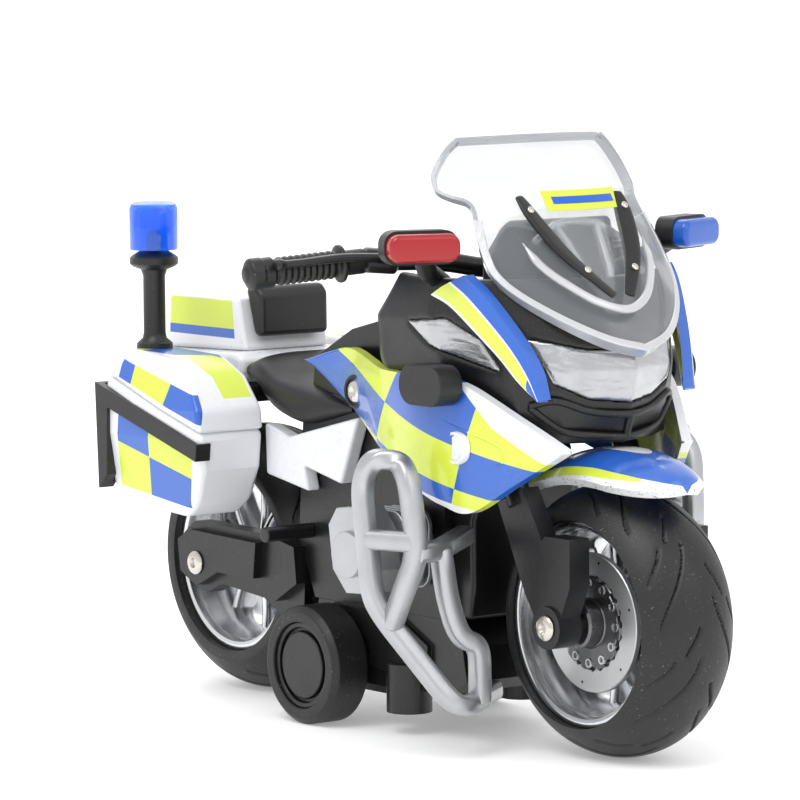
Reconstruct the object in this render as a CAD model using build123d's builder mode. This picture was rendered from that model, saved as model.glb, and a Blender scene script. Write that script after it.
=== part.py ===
"""A small die-cast pull-back police motorcycle, in millimetres.

The frame has +X forwards, +Y to the rider's left and +Z up. The origin lies on the ground under the middle
of the toy. The front end steers on a raked stem, both road wheels roll, and a pair of small wheels under the
belly is geared to a mainspring.
"""

import os
from math import cos, pi, radians, sin

from build123d import *

os.makedirs("parts", exist_ok=True)

# ---- driving dimensions -------------------------------------------------------------------------------
LENGTH = 80.0  # front tyre to tail lamp
HALF_WIDTH = 22.5  # to the end of a grip
HEIGHT = 55.0  # to the top of the windscreen
FRONT_R = 12.2  # front tyre
REAR_R = 12.8  # rear tyre
TYRE_HALF = 5.2
FRONT_SIDEWALL = 3.05
FRONT_RIM_R = FRONT_R - FRONT_SIDEWALL
REAR_SIDEWALL = 4.05
REAR_RIM_R = REAR_R - REAR_SIDEWALL
RIM_HALF = 4.4
REAR_AXLE_X = -24.0
AXLE_R = 0.8
RUN = 0.05  # radial clearance of a running fit
GAP = 0.3  # space left between neighbours on different bodies
RAKE = 26.0  # steering axis from the vertical, in degrees
STEER_TOP = (12.0, 0.0, 40.0)  # a point on the steering axis, at the top of the steering head
LEG_Y = 6.9  # fork leg, from the middle
MOTOR_X = -4.0
MOTOR_WHEEL_R = 5.5
MOTOR_WHEEL_W = 4.2
MOTOR_WHEEL_Y = 9.4
MOTOR_HALF = 4.3
MOTOR_BOX = (-7.4, 5.4, 2.6, 21.4)  # X and Z limits of the motor's case
MODULE = 0.35  # gear module
PINION_TEETH = 10
WHEEL_TEETH = 24

FRONT_AXLE_X = LENGTH / 2 - FRONT_R
TAIL_X = -LENGTH / 2

motor_x = (MOTOR_BOX[0] + MOTOR_BOX[1]) / 2
motor_z = (MOTOR_BOX[2] + MOTOR_BOX[3]) / 2

FRONT_AXLE = (FRONT_AXLE_X, 0, FRONT_R)
REAR_AXLE = (REAR_AXLE_X, 0, REAR_R)
MOTOR_AXLE = (MOTOR_X, 0, MOTOR_WHEEL_R)

STEER_UP = Vector(-sin(radians(RAKE)), 0, cos(radians(RAKE)))
STEER = Plane(origin=STEER_TOP, x_dir=(cos(radians(RAKE)), 0, sin(radians(RAKE))), z_dir=STEER_UP)


# ---- helpers ------------------------------------------------------------------------------------------
def side_plate(points, near, far, mode=Mode.ADD):
    """A plate on the right-hand side from Y = -near to Y = -far, with its outline in X and Z."""
    with BuildSketch(Plane.XZ.offset(near)) as profile:
        Polygon(*points)
    extrude(profile.sketch, amount=far - near, mode=mode)


def mirrored_y(points):
    """The points and their mirror images across the middle plane, as one closed outline."""
    return points + [(x, -y) for x, y in reversed(points) if abs(y) > 1e-6]


def both_halves(points):
    """The points and their mirror images across the middle plane, for an outline in Y and Z."""
    return points + [(-y, z) for y, z in reversed(points) if abs(y) > 1e-6]


def facing_right(x, near, z):
    """A plane on the right-hand side at Y = -near, with its X forwards and its normal outwards."""
    return Plane(origin=(x, -near, z), x_dir=(1, 0, 0), z_dir=(0, -1, 0))


def cross_bar(centre, radius, half, mode=Mode.ADD):
    """A round bar along Y through centre."""
    with BuildSketch(facing_right(centre[0], 0, centre[2])) as profile:
        Circle(radius)
    extrude(profile.sketch, amount=half, both=True, mode=mode)


def side_disc(x, z, radius, near, far, mode=Mode.ADD):
    """A disc on the right-hand side from Y = -near to Y = -far."""
    with BuildSketch(facing_right(x, near, z)) as profile:
        Circle(radius)
    extrude(profile.sketch, amount=far - near, mode=mode)


def rod(start, end, radius):
    """A round rod from start to end."""
    run = Vector(*end) - Vector(*start)
    with BuildSketch(Plane(origin=start, z_dir=run)) as profile:
        Circle(radius)
    extrude(profile.sketch, amount=run.length)


def tube(points, radius):
    """A bent bar through points, with a ball at each corner."""
    for start, end in zip(points, points[1:]):
        rod(start, end, radius)
    for corner in points[1:-1]:
        with Locations(corner):
            Sphere(radius)


def without(*others):
    """Cuts finished neighbours out of the part in hand."""
    for other in others:
        add(other.part, mode=Mode.SUBTRACT)


def other_side():
    """Adds the left-hand copy of the part in hand."""
    mirror(about=Plane.XZ)


def keep(builder, label):
    """Labels a finished piece and writes it to parts/."""
    builder.part.label = label
    export_step(builder.part, f"parts/{label}.step")


def wheel_plane(centre):
    """The plane in which a wheel's section is drawn: X is the radius and Y runs along the axle."""
    return Plane(origin=centre, x_dir=(1, 0, 0), z_dir=(0, 0, 1))


def wheel_axis(centre):
    return Axis(centre, (0, 1, 0))


# ---- road wheels --------------------------------------------------------------------------------------
TREAD_CROWN = 3.0  # how far the tread falls from its middle to its shoulder
FLANGE = 0.7  # rim flange height above the tyre's seat
RIM_SKIN = 0.75
HUB_R = 2.3
SPOKES = 10


def tyre_body(centre, outer, rim_r):
    """A tyre on its rim's seat, with a round crown."""
    seat = rim_r - FLANGE
    bead = RIM_HALF - 0.5
    shoulder = outer - TREAD_CROWN
    with BuildSketch(wheel_plane(centre)) as section:
        with BuildLine():
            Line((seat, -bead), (rim_r + 0.1, -bead))
            Line((rim_r + 0.1, -bead), (shoulder, -TYRE_HALF))
            ThreePointArc((shoulder, -TYRE_HALF), (outer, 0), (shoulder, TYRE_HALF))
            Line((shoulder, TYRE_HALF), (rim_r + 0.1, bead))
            Line((rim_r + 0.1, bead), (seat, bead))
            Line((seat, bead), (seat, -bead))
        make_face()
    revolve(section.sketch, axis=wheel_axis(centre))


def rim_body(centre, rim_r, hub_half):
    """A cast rim: flanged barrel, tapering spokes and a bored hub."""
    seat = rim_r - FLANGE
    bead = RIM_HALF - 0.5
    with BuildSketch(wheel_plane(centre)) as section:
        Polygon(
            [
                (seat, -bead), (rim_r, -bead), (rim_r, -RIM_HALF), (seat - 0.2, -RIM_HALF),
                (seat - RIM_SKIN - 0.5, -1.2), (seat - RIM_SKIN - 0.5, 1.2),
                (seat - 0.2, RIM_HALF), (rim_r, RIM_HALF), (rim_r, bead), (seat, bead),
            ]
        )
    revolve(section.sketch, axis=wheel_axis(centre))
    cross_bar(centre, HUB_R, hub_half)
    reach = seat - RIM_SKIN
    with BuildSketch(facing_right(centre[0], 0, centre[2])) as spokes:
        with PolarLocations(0, SPOKES):
            Polygon((HUB_R - 0.4, -0.65), (reach, -0.4), (reach, 0.4), (HUB_R - 0.4, 0.65))
    extrude(spokes.sketch, amount=1.0, both=True)
    cross_bar(centre, AXLE_R, hub_half + 1, mode=Mode.SUBTRACT)


HUB_HALF = 5.0
with BuildPart() as front_tyre:
    tyre_body(FRONT_AXLE, FRONT_R, FRONT_RIM_R)
with BuildPart() as front_rim:
    rim_body(FRONT_AXLE, FRONT_RIM_R, HUB_HALF)
with BuildPart() as rear_tyre:
    tyre_body(REAR_AXLE, REAR_R, REAR_RIM_R)
with BuildPart() as rear_rim:
    rim_body(REAR_AXLE, REAR_RIM_R, HUB_HALF)

DISC_CLEAR = 2.95  # from the disc to the rim's edge
DISC_R = FRONT_RIM_R - DISC_CLEAR
DISC_Y = 2.6
DISC_THICK = 0.6
with BuildPart() as brake_discs:
    with BuildSketch(facing_right(FRONT_AXLE_X, DISC_Y, FRONT_R)):
        Circle(DISC_R)
        Circle(HUB_R, mode=Mode.SUBTRACT)
        with PolarLocations((HUB_R + DISC_R) / 2 + 0.5, 12):
            Circle(0.35, mode=Mode.SUBTRACT)
    extrude(amount=DISC_THICK)
    other_side()

LEG_IN = 5.75  # inner face of a fork leg
LEG_OUT = 7.6
BOSS_OUT = 8.3
AXLE_HEAD_R = 1.15
AXLE_HEAD = 0.35


def axle_body(centre, half):
    """A steel axle pin with a riveted head at each end."""
    side_disc(centre[0], centre[2], AXLE_R, 0, half)
    side_disc(centre[0], centre[2], AXLE_HEAD_R, half, half + AXLE_HEAD)
    other_side()


ARM_IN = 5.9  # swing arm cheek
ARM_OUT = 8.8
ARM_COVER = 1.0  # thickness of the swing arm's outer cover
with BuildPart() as front_axle:
    axle_body(FRONT_AXLE, BOSS_OUT + 0.1)
with BuildPart() as rear_axle:
    axle_body(REAR_AXLE, ARM_OUT + 0.1)

# ---- front fork, stem and yokes -----------------------------------------------------------------------
# Places on the steering plane: x is ahead of the axis and z is up along it.
axle_run = FRONT_AXLE_X - STEER_TOP[0]
axle_rise = FRONT_R - STEER_TOP[2]
axle_ahead = axle_run * cos(radians(RAKE)) + axle_rise * sin(radians(RAKE))
axle_down = -axle_run * sin(radians(RAKE)) + axle_rise * cos(radians(RAKE))
STEM_R = 1.2
HEAD_LEN = 5.0  # steering head, along the axis
LOWER_YOKE_TOP = -HEAD_LEN - 1.2
YOKE_THICK = 1.5
STANCHION_R = 1.15
BOSS_R = 1.9
SLIDER_TOP = axle_down + 12.5
LEG_HALF = 2.2


def fork_leg():
    """The right-hand leg: stanchion, flat slider, axle boss and brake caliper."""
    leg = STEER.offset(axle_down)
    with BuildSketch(STEER.offset(SLIDER_TOP - 1)) as stanchion:
        with Locations((axle_ahead, -LEG_Y)):
            Circle(STANCHION_R)
    extrude(stanchion.sketch, amount=LOWER_YOKE_TOP - YOKE_THICK - SLIDER_TOP + 1)
    slider = Plane(
        origin=leg.origin + STEER.x_dir * axle_ahead + Vector(0, -LEG_IN, 0),
        x_dir=STEER.x_dir,
        z_dir=(0, -1, 0),
    )
    with BuildSketch(slider) as blade:
        Polygon((-1.7, 0), (-LEG_HALF, 4), (-LEG_HALF, 12.5), (1.6, 12.5), (2.0, 8), (1.7, 0))
    extrude(blade.sketch, amount=LEG_OUT - LEG_IN)
    side_disc(FRONT_AXLE_X, FRONT_R, BOSS_R, LEG_IN, BOSS_OUT)
    side_plate([(26.6, 13.0), (26.6, 19.6), (27.4, 20.2), (30.7, 20.2), (30.7, 16.0), (29.2, 12.6)], LEG_IN, 8.0)
    cross_bar(FRONT_AXLE, AXLE_R + RUN, 12, mode=Mode.SUBTRACT)


with BuildPart() as fork_legs:
    fork_leg()
    other_side()

CLAMP_TOP = 2.6
with BuildPart() as steering_stem:
    with BuildSketch(STEER.offset(LOWER_YOKE_TOP - YOKE_THICK)):
        Circle(STEM_R)
    extrude(amount=CLAMP_TOP - LOWER_YOKE_TOP + YOKE_THICK)
    with BuildSketch(STEER.offset(LOWER_YOKE_TOP - YOKE_THICK)):
        with Locations((axle_ahead / 2, 0)):
            RectangleRounded(5.0, 2 * LEG_Y + 2 * STANCHION_R, 1.1)
    extrude(amount=YOKE_THICK)
    with BuildSketch(STEER.offset(0.4)):
        Circle(2.2)
    extrude(amount=0.9)

# ---- handlebar ----------------------------------------------------------------------------------------
BAR_R = 0.9
GRIP_R = 1.3
bar_centre = STEER.origin + STEER_UP * (CLAMP_TOP - 0.2)
BAR_BEND = (5.6, -11.2, 43.3)
GRIP_END = (2.7, -HALF_WIDTH + 0.27, 42.4)
with BuildPart() as handlebar:
    rod(tuple(bar_centre), (8.4, -4.6, 43.2), BAR_R)
    rod((8.4, -4.6, 43.2), BAR_BEND, BAR_R)
    with Locations((8.4, -4.6, 43.2)):
        Sphere(BAR_R)
    other_side()
    with Locations(tuple(bar_centre)):
        Sphere(BAR_R + 0.3)
    without(steering_stem)

grip_run = Vector(*GRIP_END) - Vector(*BAR_BEND)
GRIP_RIBS = 9
with BuildPart() as grips:
    grip_plane = Plane(origin=BAR_BEND, z_dir=grip_run)
    with BuildSketch(grip_plane):
        Circle(GRIP_R - 0.2)
    extrude(amount=grip_run.length * 0.995)
    for rib in range(GRIP_RIBS):
        with BuildSketch(grip_plane.offset(3.0 + rib * 0.62)):
            Circle(GRIP_R)
        extrude(amount=0.32)
    with BuildSketch(grip_plane.offset(grip_run.length - 2.6)):
        Circle(GRIP_R + 0.15)
    extrude(amount=2.3, taper=4)
    with BuildSketch(grip_plane.offset(1.9)):
        Circle(GRIP_R + 0.5)
    extrude(amount=0.6)
    other_side()
    without(handlebar)

with BuildPart() as levers:
    with BuildSketch(Plane.XY.offset(43.0)):
        Polygon((6.5, -9.4), (8.6, -9.7), (8.4, -11.4), (6.2, -18.4), (5.3, -20.6), (4.6, -20.4), (5.2, -18.0),
                (7.1, -12.2))
    extrude(amount=0.9)
    with BuildSketch(Plane.XY.offset(42.6)):
        Polygon((5.0, -8.6), (8.3, -9.5), (8.0, -11.2), (6.4, -11.0))
    extrude(amount=1.7)
    other_side()
    without(handlebar, grips)

# ---- front fender -------------------------------------------------------------------------------------
FENDER_CLEAR = 0.8
FENDER_HALF = 5.3
with BuildPart() as front_fender:
    with BuildSketch(Plane.XZ):
        Polygon((18.5, 22.6), (19.5, 24.8), (24.0, 26.6), (28.5, 27.3), (32.0, 27.2), (35.3, 26.3), (37.0, 25.3),
                (37.0, 24.4), (35.0, 22.6))
    extrude(amount=FENDER_HALF, both=True)
    with BuildSketch(Plane.XY):
        Polygon(*mirrored_y([(16.0, -3.8), (22.0, -FENDER_HALF), (31.0, -5.0), (34.6, -3.9), (36.6, -2.0),
                             (37.1, 0.0)]))
    extrude(amount=HEIGHT, mode=Mode.INTERSECT)
    with BuildSketch(Plane.YZ):
        Polygon(*both_halves([(0, 27.4), (-3.4, 26.6), (-FENDER_HALF, 24.4), (-FENDER_HALF, 20), (0, 20)]))
    extrude(amount=HEIGHT, mode=Mode.INTERSECT)
    cross_bar(FRONT_AXLE, FRONT_R + FENDER_CLEAR, 10, mode=Mode.SUBTRACT)
    without(fork_legs)

# ---- main frame with the steering head ----------------------------------------------------------------
CHEEK_IN = 5.6
CHEEK_OUT = 6.6
SPINE_LOW = 28.4
SPINE_TOP = 30.2
with BuildPart() as main_frame:
    side_plate([(-10.4, 16.5), (-9.5, 30.2), (9.5, 30.2), (11.5, 25.0), (11.5, 11.0), (-8.0, 11.0)],
               CHEEK_IN, CHEEK_OUT)
    other_side()
    with BuildSketch(Plane.XY.offset(SPINE_LOW)):
        Polygon((TAIL_X + 4, -4.0), (TAIL_X + 4, 4.0), (-12, 4.0), (-9.5, CHEEK_OUT), (9.5, CHEEK_OUT),
                (9.5, -CHEEK_OUT), (-9.5, -CHEEK_OUT), (-12, -4.0))
    extrude(amount=SPINE_TOP - SPINE_LOW)
    with BuildSketch(Plane.XZ):
        Polygon((3.0, 29.0), (3.0, 31.0), (9.5, 38.2), (11.5, 38.6), (13.0, 35.6), (11.8, 32.5), (10.0, 29.0))
    extrude(amount=2.2, both=True)
    with BuildSketch(Plane.XZ):
        Polygon((-9.5, MOTOR_BOX[3] + 0.2), (-9.5, 30.0), (8.0, 30.0), (8.0, MOTOR_BOX[3] + 0.2))
    extrude(amount=CHEEK_OUT, both=True)
    with BuildSketch(STEER.offset(-HEAD_LEN - 1.0)):
        Circle(2.6)
    extrude(amount=HEAD_LEN + 0.9)
    for x in (-25.0, -17.0):
        cross_bar((x, 0, 29.4), 0.8, 9.0)
    with BuildSketch(STEER.offset(-20)):
        Circle(STEM_R + RUN)
    extrude(amount=40, mode=Mode.SUBTRACT)

# ---- lower frame --------------------------------------------------------------------------------------
BOSS = (6.2, 6.6)  # screw boss, ahead of and beside the middle
BOSS_POST_R = 2.1
BOSS_FOOT_Z = 2.0
SCREW_R = 1.2
both_bosses = [(BOSS[0], -BOSS[1]), (BOSS[0], BOSS[1])]
with BuildPart() as lower_frame:
    with BuildSketch(Plane.XZ):
        Polygon((-8.6, 7.2), (-7.4, 11.0), (11.5, 11.0), (14.0, 8.6), (14.6, 5.6), (13.0, 4.4), (4.6, 3.8),
                (-8.2, 3.8))
    extrude(amount=CHEEK_OUT, both=True)
    with BuildSketch(Plane.XY):
        with Locations((motor_x, 0)):
            Rectangle(MOTOR_BOX[1] - MOTOR_BOX[0] + 2 * RUN, 2 * MOTOR_HALF + 2 * RUN)
    extrude(amount=20, mode=Mode.SUBTRACT)
    side_plate([(-7.5, 7.6), (-4.6, 10.9), (4.5, 10.9), (9.5, 8.4), (9.5, 5.4), (2.8, 5.4)], CHEEK_OUT, 7.1)
    other_side()
    with BuildSketch(Plane.XY.offset(BOSS_FOOT_Z)):
        with Locations(*both_bosses):
            Circle(BOSS_POST_R)
    extrude(amount=4.5)
    with BuildSketch(Plane.XY.offset(BOSS_FOOT_Z)):
        with Locations(*both_bosses):
            Circle(SCREW_R)
    extrude(amount=1.6, mode=Mode.SUBTRACT)
    cross_bar(MOTOR_AXLE, AXLE_R + GAP, 12, mode=Mode.SUBTRACT)

with BuildPart() as base_screws:
    with BuildSketch(Plane.XY.offset(BOSS_FOOT_Z + 1.0)):
        with Locations(*both_bosses):
            Circle(SCREW_R)
    extrude(amount=0.6)
    with BuildSketch(Plane.XY.offset(BOSS_FOOT_Z + 1.0)):
        with Locations(*both_bosses):
            Rectangle(1.8, 0.3)
            Rectangle(0.3, 1.8)
    extrude(amount=0.35, mode=Mode.SUBTRACT)

# ---- swing arm ----------------------------------------------------------------------------------------
with BuildPart() as swing_arm:
    side_plate([(-27.2, 11.2), (-27.6, 15.0), (-25.4, 16.6), (-14.0, 16.4), (-9.6, 15.6), (-9.2, 12.2),
                (-12.6, 10.2), (-21.0, 11.0), (-23.6, 9.9)], ARM_IN, ARM_OUT - ARM_COVER + 0.1)
    side_plate([(-26.6, 11.8), (-27.0, 14.8), (-25.2, 15.9), (-14.4, 15.6), (-14.8, 12.2), (-20.6, 12.2),
                (-24.0, 10.6)], ARM_OUT - ARM_COVER, ARM_OUT)
    side_plate([(-16.5, 10.6), (-12.6, 11.6), (-9.2, 12.4), (-9.4, 8.6), (-10.4, 7.4)], ARM_IN, 6.9)
    other_side()
    cross_bar(REAR_AXLE, AXLE_R + RUN, 12, mode=Mode.SUBTRACT)
    without(main_frame, lower_frame)

# ---- pull-back motor ----------------------------------------------------------------------------------
PINION_R = MODULE * PINION_TEETH / 2
WHEEL_R = MODULE * WHEEL_TEETH / 2
MESH = PINION_R + WHEEL_R
IDLER_LINE = 50.0  # direction from the drive axle to the idler, in degrees above +X
BARREL_LINE = 105.0  # direction from the idler to the barrel
IDLER = (
    MOTOR_X + MESH * cos(radians(IDLER_LINE)),
    0,
    MOTOR_WHEEL_R + MESH * sin(radians(IDLER_LINE)),
)
BARREL = (IDLER[0] + MESH * cos(radians(BARREL_LINE)), 0, IDLER[2] + MESH * sin(radians(BARREL_LINE)))


def gear_outline(centre, teeth, start_deg):
    """A gear's outline in X and Z: straight-flanked teeth with backlash, first tooth at start_deg."""
    pitch = MODULE * teeth / 2
    step = 2 * pi / teeth
    points = []
    for tooth in range(teeth):
        middle = radians(start_deg) + tooth * step
        for radius, share in ((pitch - 1.15 * MODULE, -0.29), (pitch, -0.215), (pitch + 0.75 * MODULE, -0.11),
                              (pitch + 0.75 * MODULE, 0.11), (pitch, 0.215), (pitch - 1.15 * MODULE, 0.29)):
            angle = middle + share * step
            points.append((centre[0] + radius * cos(angle), centre[2] + radius * sin(angle)))
    return points


def gear(centre, teeth, start_deg, near, far):
    """A spur gear about Y, from Y = near to Y = far."""
    with BuildSketch(Plane.XZ.offset(-near)) as blank:
        Polygon(*gear_outline(centre, teeth, start_deg))
    extrude(blank.sketch, amount=near - far)


BIG_STEP = 360 / WHEEL_TEETH
# A tooth of each pinion points along its line of centres, and a gap of each wheel faces it.
FIRST = (1.0, 2.2)  # Y range of the drive pinion and the idler's wheel
SECOND = (-0.9, 0.5)  # Y range of the idler's pinion and the barrel's wheel

with BuildPart() as drive_axle:
    cross_bar(MOTOR_AXLE, AXLE_R, MOTOR_WHEEL_Y + MOTOR_WHEEL_W / 2 - 0.6)
with BuildPart() as drive_pinion:
    gear(MOTOR_AXLE, PINION_TEETH, IDLER_LINE, FIRST[0], FIRST[1])
    cross_bar(MOTOR_AXLE, AXLE_R, 12, mode=Mode.SUBTRACT)
ARBOR_R = 0.6
with BuildPart() as idler_gear:
    gear(IDLER, WHEEL_TEETH, IDLER_LINE + 180 + BIG_STEP / 2, FIRST[0], FIRST[1])
    gear(IDLER, PINION_TEETH, BARREL_LINE, SECOND[0], FIRST[0])
    cross_bar(IDLER, ARBOR_R, MOTOR_HALF)
SPRING_CAN_R = 3.5
with BuildPart() as barrel_gear:
    gear(BARREL, WHEEL_TEETH, BARREL_LINE + 180 + BIG_STEP / 2, SECOND[0], SECOND[1])
    with BuildSketch(facing_right(BARREL[0], -SECOND[0], BARREL[2])):
        Circle(SPRING_CAN_R)
    extrude(amount=2.6)
    with BuildSketch(facing_right(BARREL[0], -SECOND[0] + 0.3, BARREL[2])):
        Circle(SPRING_CAN_R - 0.4)
    extrude(amount=3, mode=Mode.SUBTRACT)
    cross_bar(BARREL, ARBOR_R, MOTOR_HALF)
SPRING_TURNS = 5
SPRING_PITCH = 0.42
with BuildPart() as mainspring:
    with BuildSketch(facing_right(BARREL[0], -SECOND[0] + 0.4, BARREL[2])):
        with BuildLine():
            radius = ARBOR_R + 0.25
            for half_turn in range(2 * SPRING_TURNS):
                grown = radius + SPRING_PITCH / 2
                side = 1 if half_turn % 2 == 0 else -1
                middle = side * (radius - grown) / 2
                reach = (radius + grown) / 2
                ThreePointArc((side * radius, 0), (middle, side * reach), (-side * grown, 0))
                radius = grown
        trace(line_width=0.14)
    extrude(amount=1.9)


def motor_shell():
    """The right-hand half of the motor's box, open towards the middle."""
    with BuildSketch(Plane.XZ) as outside:
        with Locations((motor_x, motor_z)):
            RectangleRounded(MOTOR_BOX[1] - MOTOR_BOX[0], MOTOR_BOX[3] - MOTOR_BOX[2], 1.6)
    extrude(outside.sketch, amount=MOTOR_HALF)
    with BuildSketch(Plane.XZ) as inside:
        with Locations((motor_x, motor_z)):
            RectangleRounded(MOTOR_BOX[1] - MOTOR_BOX[0] - 1.2, MOTOR_BOX[3] - MOTOR_BOX[2] - 1.2, 1.0)
    extrude(inside.sketch, amount=MOTOR_HALF - 0.8, mode=Mode.SUBTRACT)
    cross_bar(MOTOR_AXLE, AXLE_R + RUN, 9, mode=Mode.SUBTRACT)
    cross_bar(IDLER, ARBOR_R + RUN, 9, mode=Mode.SUBTRACT)
    cross_bar(BARREL, ARBOR_R + RUN, 9, mode=Mode.SUBTRACT)


with BuildPart() as motor_shell_right:
    motor_shell()
with BuildPart() as motor_shell_left:
    mirror(motor_shell_right.part, about=Plane.XZ)

MOTOR_HUB_R = 4.0
with BuildPart() as motor_wheels:
    with BuildSketch(facing_right(MOTOR_X, MOTOR_WHEEL_Y - MOTOR_WHEEL_W / 2, MOTOR_WHEEL_R)):
        Circle(MOTOR_HUB_R)
    extrude(amount=MOTOR_WHEEL_W - 0.3)
    with BuildSketch(facing_right(MOTOR_X, MOTOR_WHEEL_Y + MOTOR_WHEEL_W / 2 - 0.8, MOTOR_WHEEL_R)):
        Circle(MOTOR_HUB_R - 0.5)
        Circle(MOTOR_HUB_R - 0.9, mode=Mode.SUBTRACT)
    extrude(amount=1, mode=Mode.SUBTRACT)
    other_side()
    without(drive_axle)
with BuildPart() as motor_tyres:
    with BuildSketch(facing_right(MOTOR_X, MOTOR_WHEEL_Y, MOTOR_WHEEL_R)):
        Circle(MOTOR_WHEEL_R)
        Circle(MOTOR_HUB_R, mode=Mode.SUBTRACT)
    extrude(amount=MOTOR_WHEEL_W / 2, both=True)
    chamfer(motor_tyres.edges().filter_by(GeomType.CIRCLE).group_by(SortBy.RADIUS)[-1], 0.5)
    other_side()

# ---- engine and cylinders -----------------------------------------------------------------------------
with BuildPart() as engine_block:
    with BuildSketch(Plane.XZ):
        Polygon((8.0, 11.0), (13.6, 11.0), (14.2, 14.0), (14.2, 20.0), (15.6, 23.0), (15.0, 26.4), (11.5, 28.4),
                (8.0, 28.4))
    extrude(amount=5.5, both=True)
    without(main_frame)

HEAD_X = 7.6
HEAD_Z = 17.4
FINS = 4
with BuildPart() as cylinder_heads:
    barrel_plane = facing_right(HEAD_X, CHEEK_OUT, HEAD_Z)
    with BuildSketch(barrel_plane):
        Circle(2.6)
    extrude(amount=5)
    for fin in range(FINS):
        with BuildSketch(barrel_plane.offset(0.9 + fin * 0.95)):
            RectangleRounded(6.6, 7.2, 1.6)
        extrude(amount=0.45)
    cover = [(4.2, 19.6), (5.4, 21.2), (8.6, 21.6), (10.6, 19.4), (11.2, 16.0), (9.8, 13.8), (6.8, 13.6),
             (4.8, 15.6)]
    side_plate(cover, CHEEK_OUT + 4.7, CHEEK_OUT + 7.6)
    with BuildSketch(facing_right(HEAD_X, CHEEK_OUT + 7.5, HEAD_Z - 0.2)):
        Circle(2.1)
    extrude(amount=0.8)
    other_side()

# ---- crash bars ---------------------------------------------------------------------------------------
CRASH_R = 0.9
CRASH_LOOP = [(17.4, -16.2, 26.6), (15.6, -17.9, 26.8), (14.2, -18.0, 24.4), (15.6, -18.0, 14.6),
              (16.4, -17.2, 12.6),
              (20.6, -13.2, 5.3), (20.6, -11.4, 4.7), (15.6, -4.4, 4.9)]
CRASH_INNER = [(17.4, -16.2, 26.6), (18.9, -16.4, 25.0), (19.6, -16.0, 18.6), (17.0, -17.0, 12.0)]
CRASH_SPUR = [(19.5, -16.2, 18.6), (19.0, -13.2, 18.6), (14.8, -7.0, 19.0)]
CRASH_DROP = [(19.0, -13.0, 18.6), (19.2, -12.4, 14.2), (19.8, -11.6, 10.8), (20.2, -9.6, 10.0), (19.7, -9.2, 4.9)]
CRASH_CROSS = [(15.2, -18.0, 19.6), (19.4, -16.2, 19.6)]


with BuildPart() as crash_bar_right:
    tube(CRASH_LOOP, CRASH_R)
    tube(CRASH_INNER, CRASH_R)
    tube(CRASH_SPUR, CRASH_R)
    tube(CRASH_DROP, CRASH_R)
    tube(CRASH_CROSS, CRASH_R)
    with Locations(CRASH_LOOP[0]):
        Sphere(CRASH_R)
    without(lower_frame, engine_block, main_frame)
with BuildPart() as crash_bar_left:
    mirror(crash_bar_right.part, about=Plane.XZ)


# ---- nose cowl and what is let into it ----------------------------------------------------------------
COWL_WALL = 1.2
# Half sections of the nose from its front round to its rear edge, by height.
COWL_SECTIONS = {
    28.0: [(28.6, 0), (26.4, -5.2), (23.6, -8.8), (18.0, -9.9), (12.0, -9.9), (11.0, -9.2)],
    31.0: [(29.6, 0), (27.2, -5.8), (24.6, -8.8), (18.0, -10.4), (10.0, -10.0), (8.0, -9.2)],
    34.5: [(30.4, 0), (27.6, -6.2), (24.4, -9.4), (17.0, -11.2), (8.2, -10.8), (5.8, -9.4)],
    38.5: [(29.6, 0), (26.4, -6.8), (22.8, -10.3), (16.0, -12.0), (7.6, -11.0), (5.7, -9.6)],
    42.4: [(26.6, 0), (24.2, -7.4), (21.4, -10.6), (16.0, -11.4), (9.8, -10.2), (8.6, -9.0)],
}


def cowl_skin():
    """The nose's ruled skin, open to the rear, below and above."""
    sections = []
    for height, half in COWL_SECTIONS.items():
        with BuildSketch(Plane.XY.offset(height)) as section:
            Polygon(*mirrored_y(half))
        sections.append(section.sketch)
    loft(sections, ruled=True)
    sections = []
    for height, half in COWL_SECTIONS.items():
        front = [(x - COWL_WALL, min(y + COWL_WALL, 0)) for x, y in half[:3]]
        rear = [(x, y + COWL_WALL) for x, y in (half[3], half[4], (0, half[5][1]))]
        with BuildSketch(Plane.XY.offset(height)) as section:
            Polygon(*mirrored_y(front + rear))
        sections.append(section.sketch)
    loft(sections, ruled=True, mode=Mode.SUBTRACT)


def seen_from_side(points, mode):
    """A prism across the whole width, with its outline in X and Z."""
    with BuildSketch(Plane.XZ) as profile:
        Polygon(*points)
    extrude(profile.sketch, amount=HALF_WIDTH, both=True, mode=mode)


def seen_from_front(points, mode, start=0.0):
    """A prism from X = start forwards, with its outline in Y and Z."""
    with BuildSketch(Plane.YZ.offset(start)) as profile:
        Polygon(*points)
    extrude(profile.sketch, amount=LENGTH / 2 - start, mode=mode)


HEADLAMP = both_halves([(0, 31.6), (-3.6, 32.0), (-6.6, 33.4), (-8.2, 37.4), (-4.0, 36.4), (0, 36.2)])
SIDE_LAMP = [(12.3, 38.4), (17.9, 38.9), (21.4, 37.2), (23.4, 34.3), (15.4, 36.4)]
GRILLE = both_halves([(0, 28.6), (-5.6, 29.2), (-8.0, 31.4), (-6.4, 32.2), (-3.4, 30.9), (0, 30.6)])
HEADLAMP_BACK = 20.0

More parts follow.
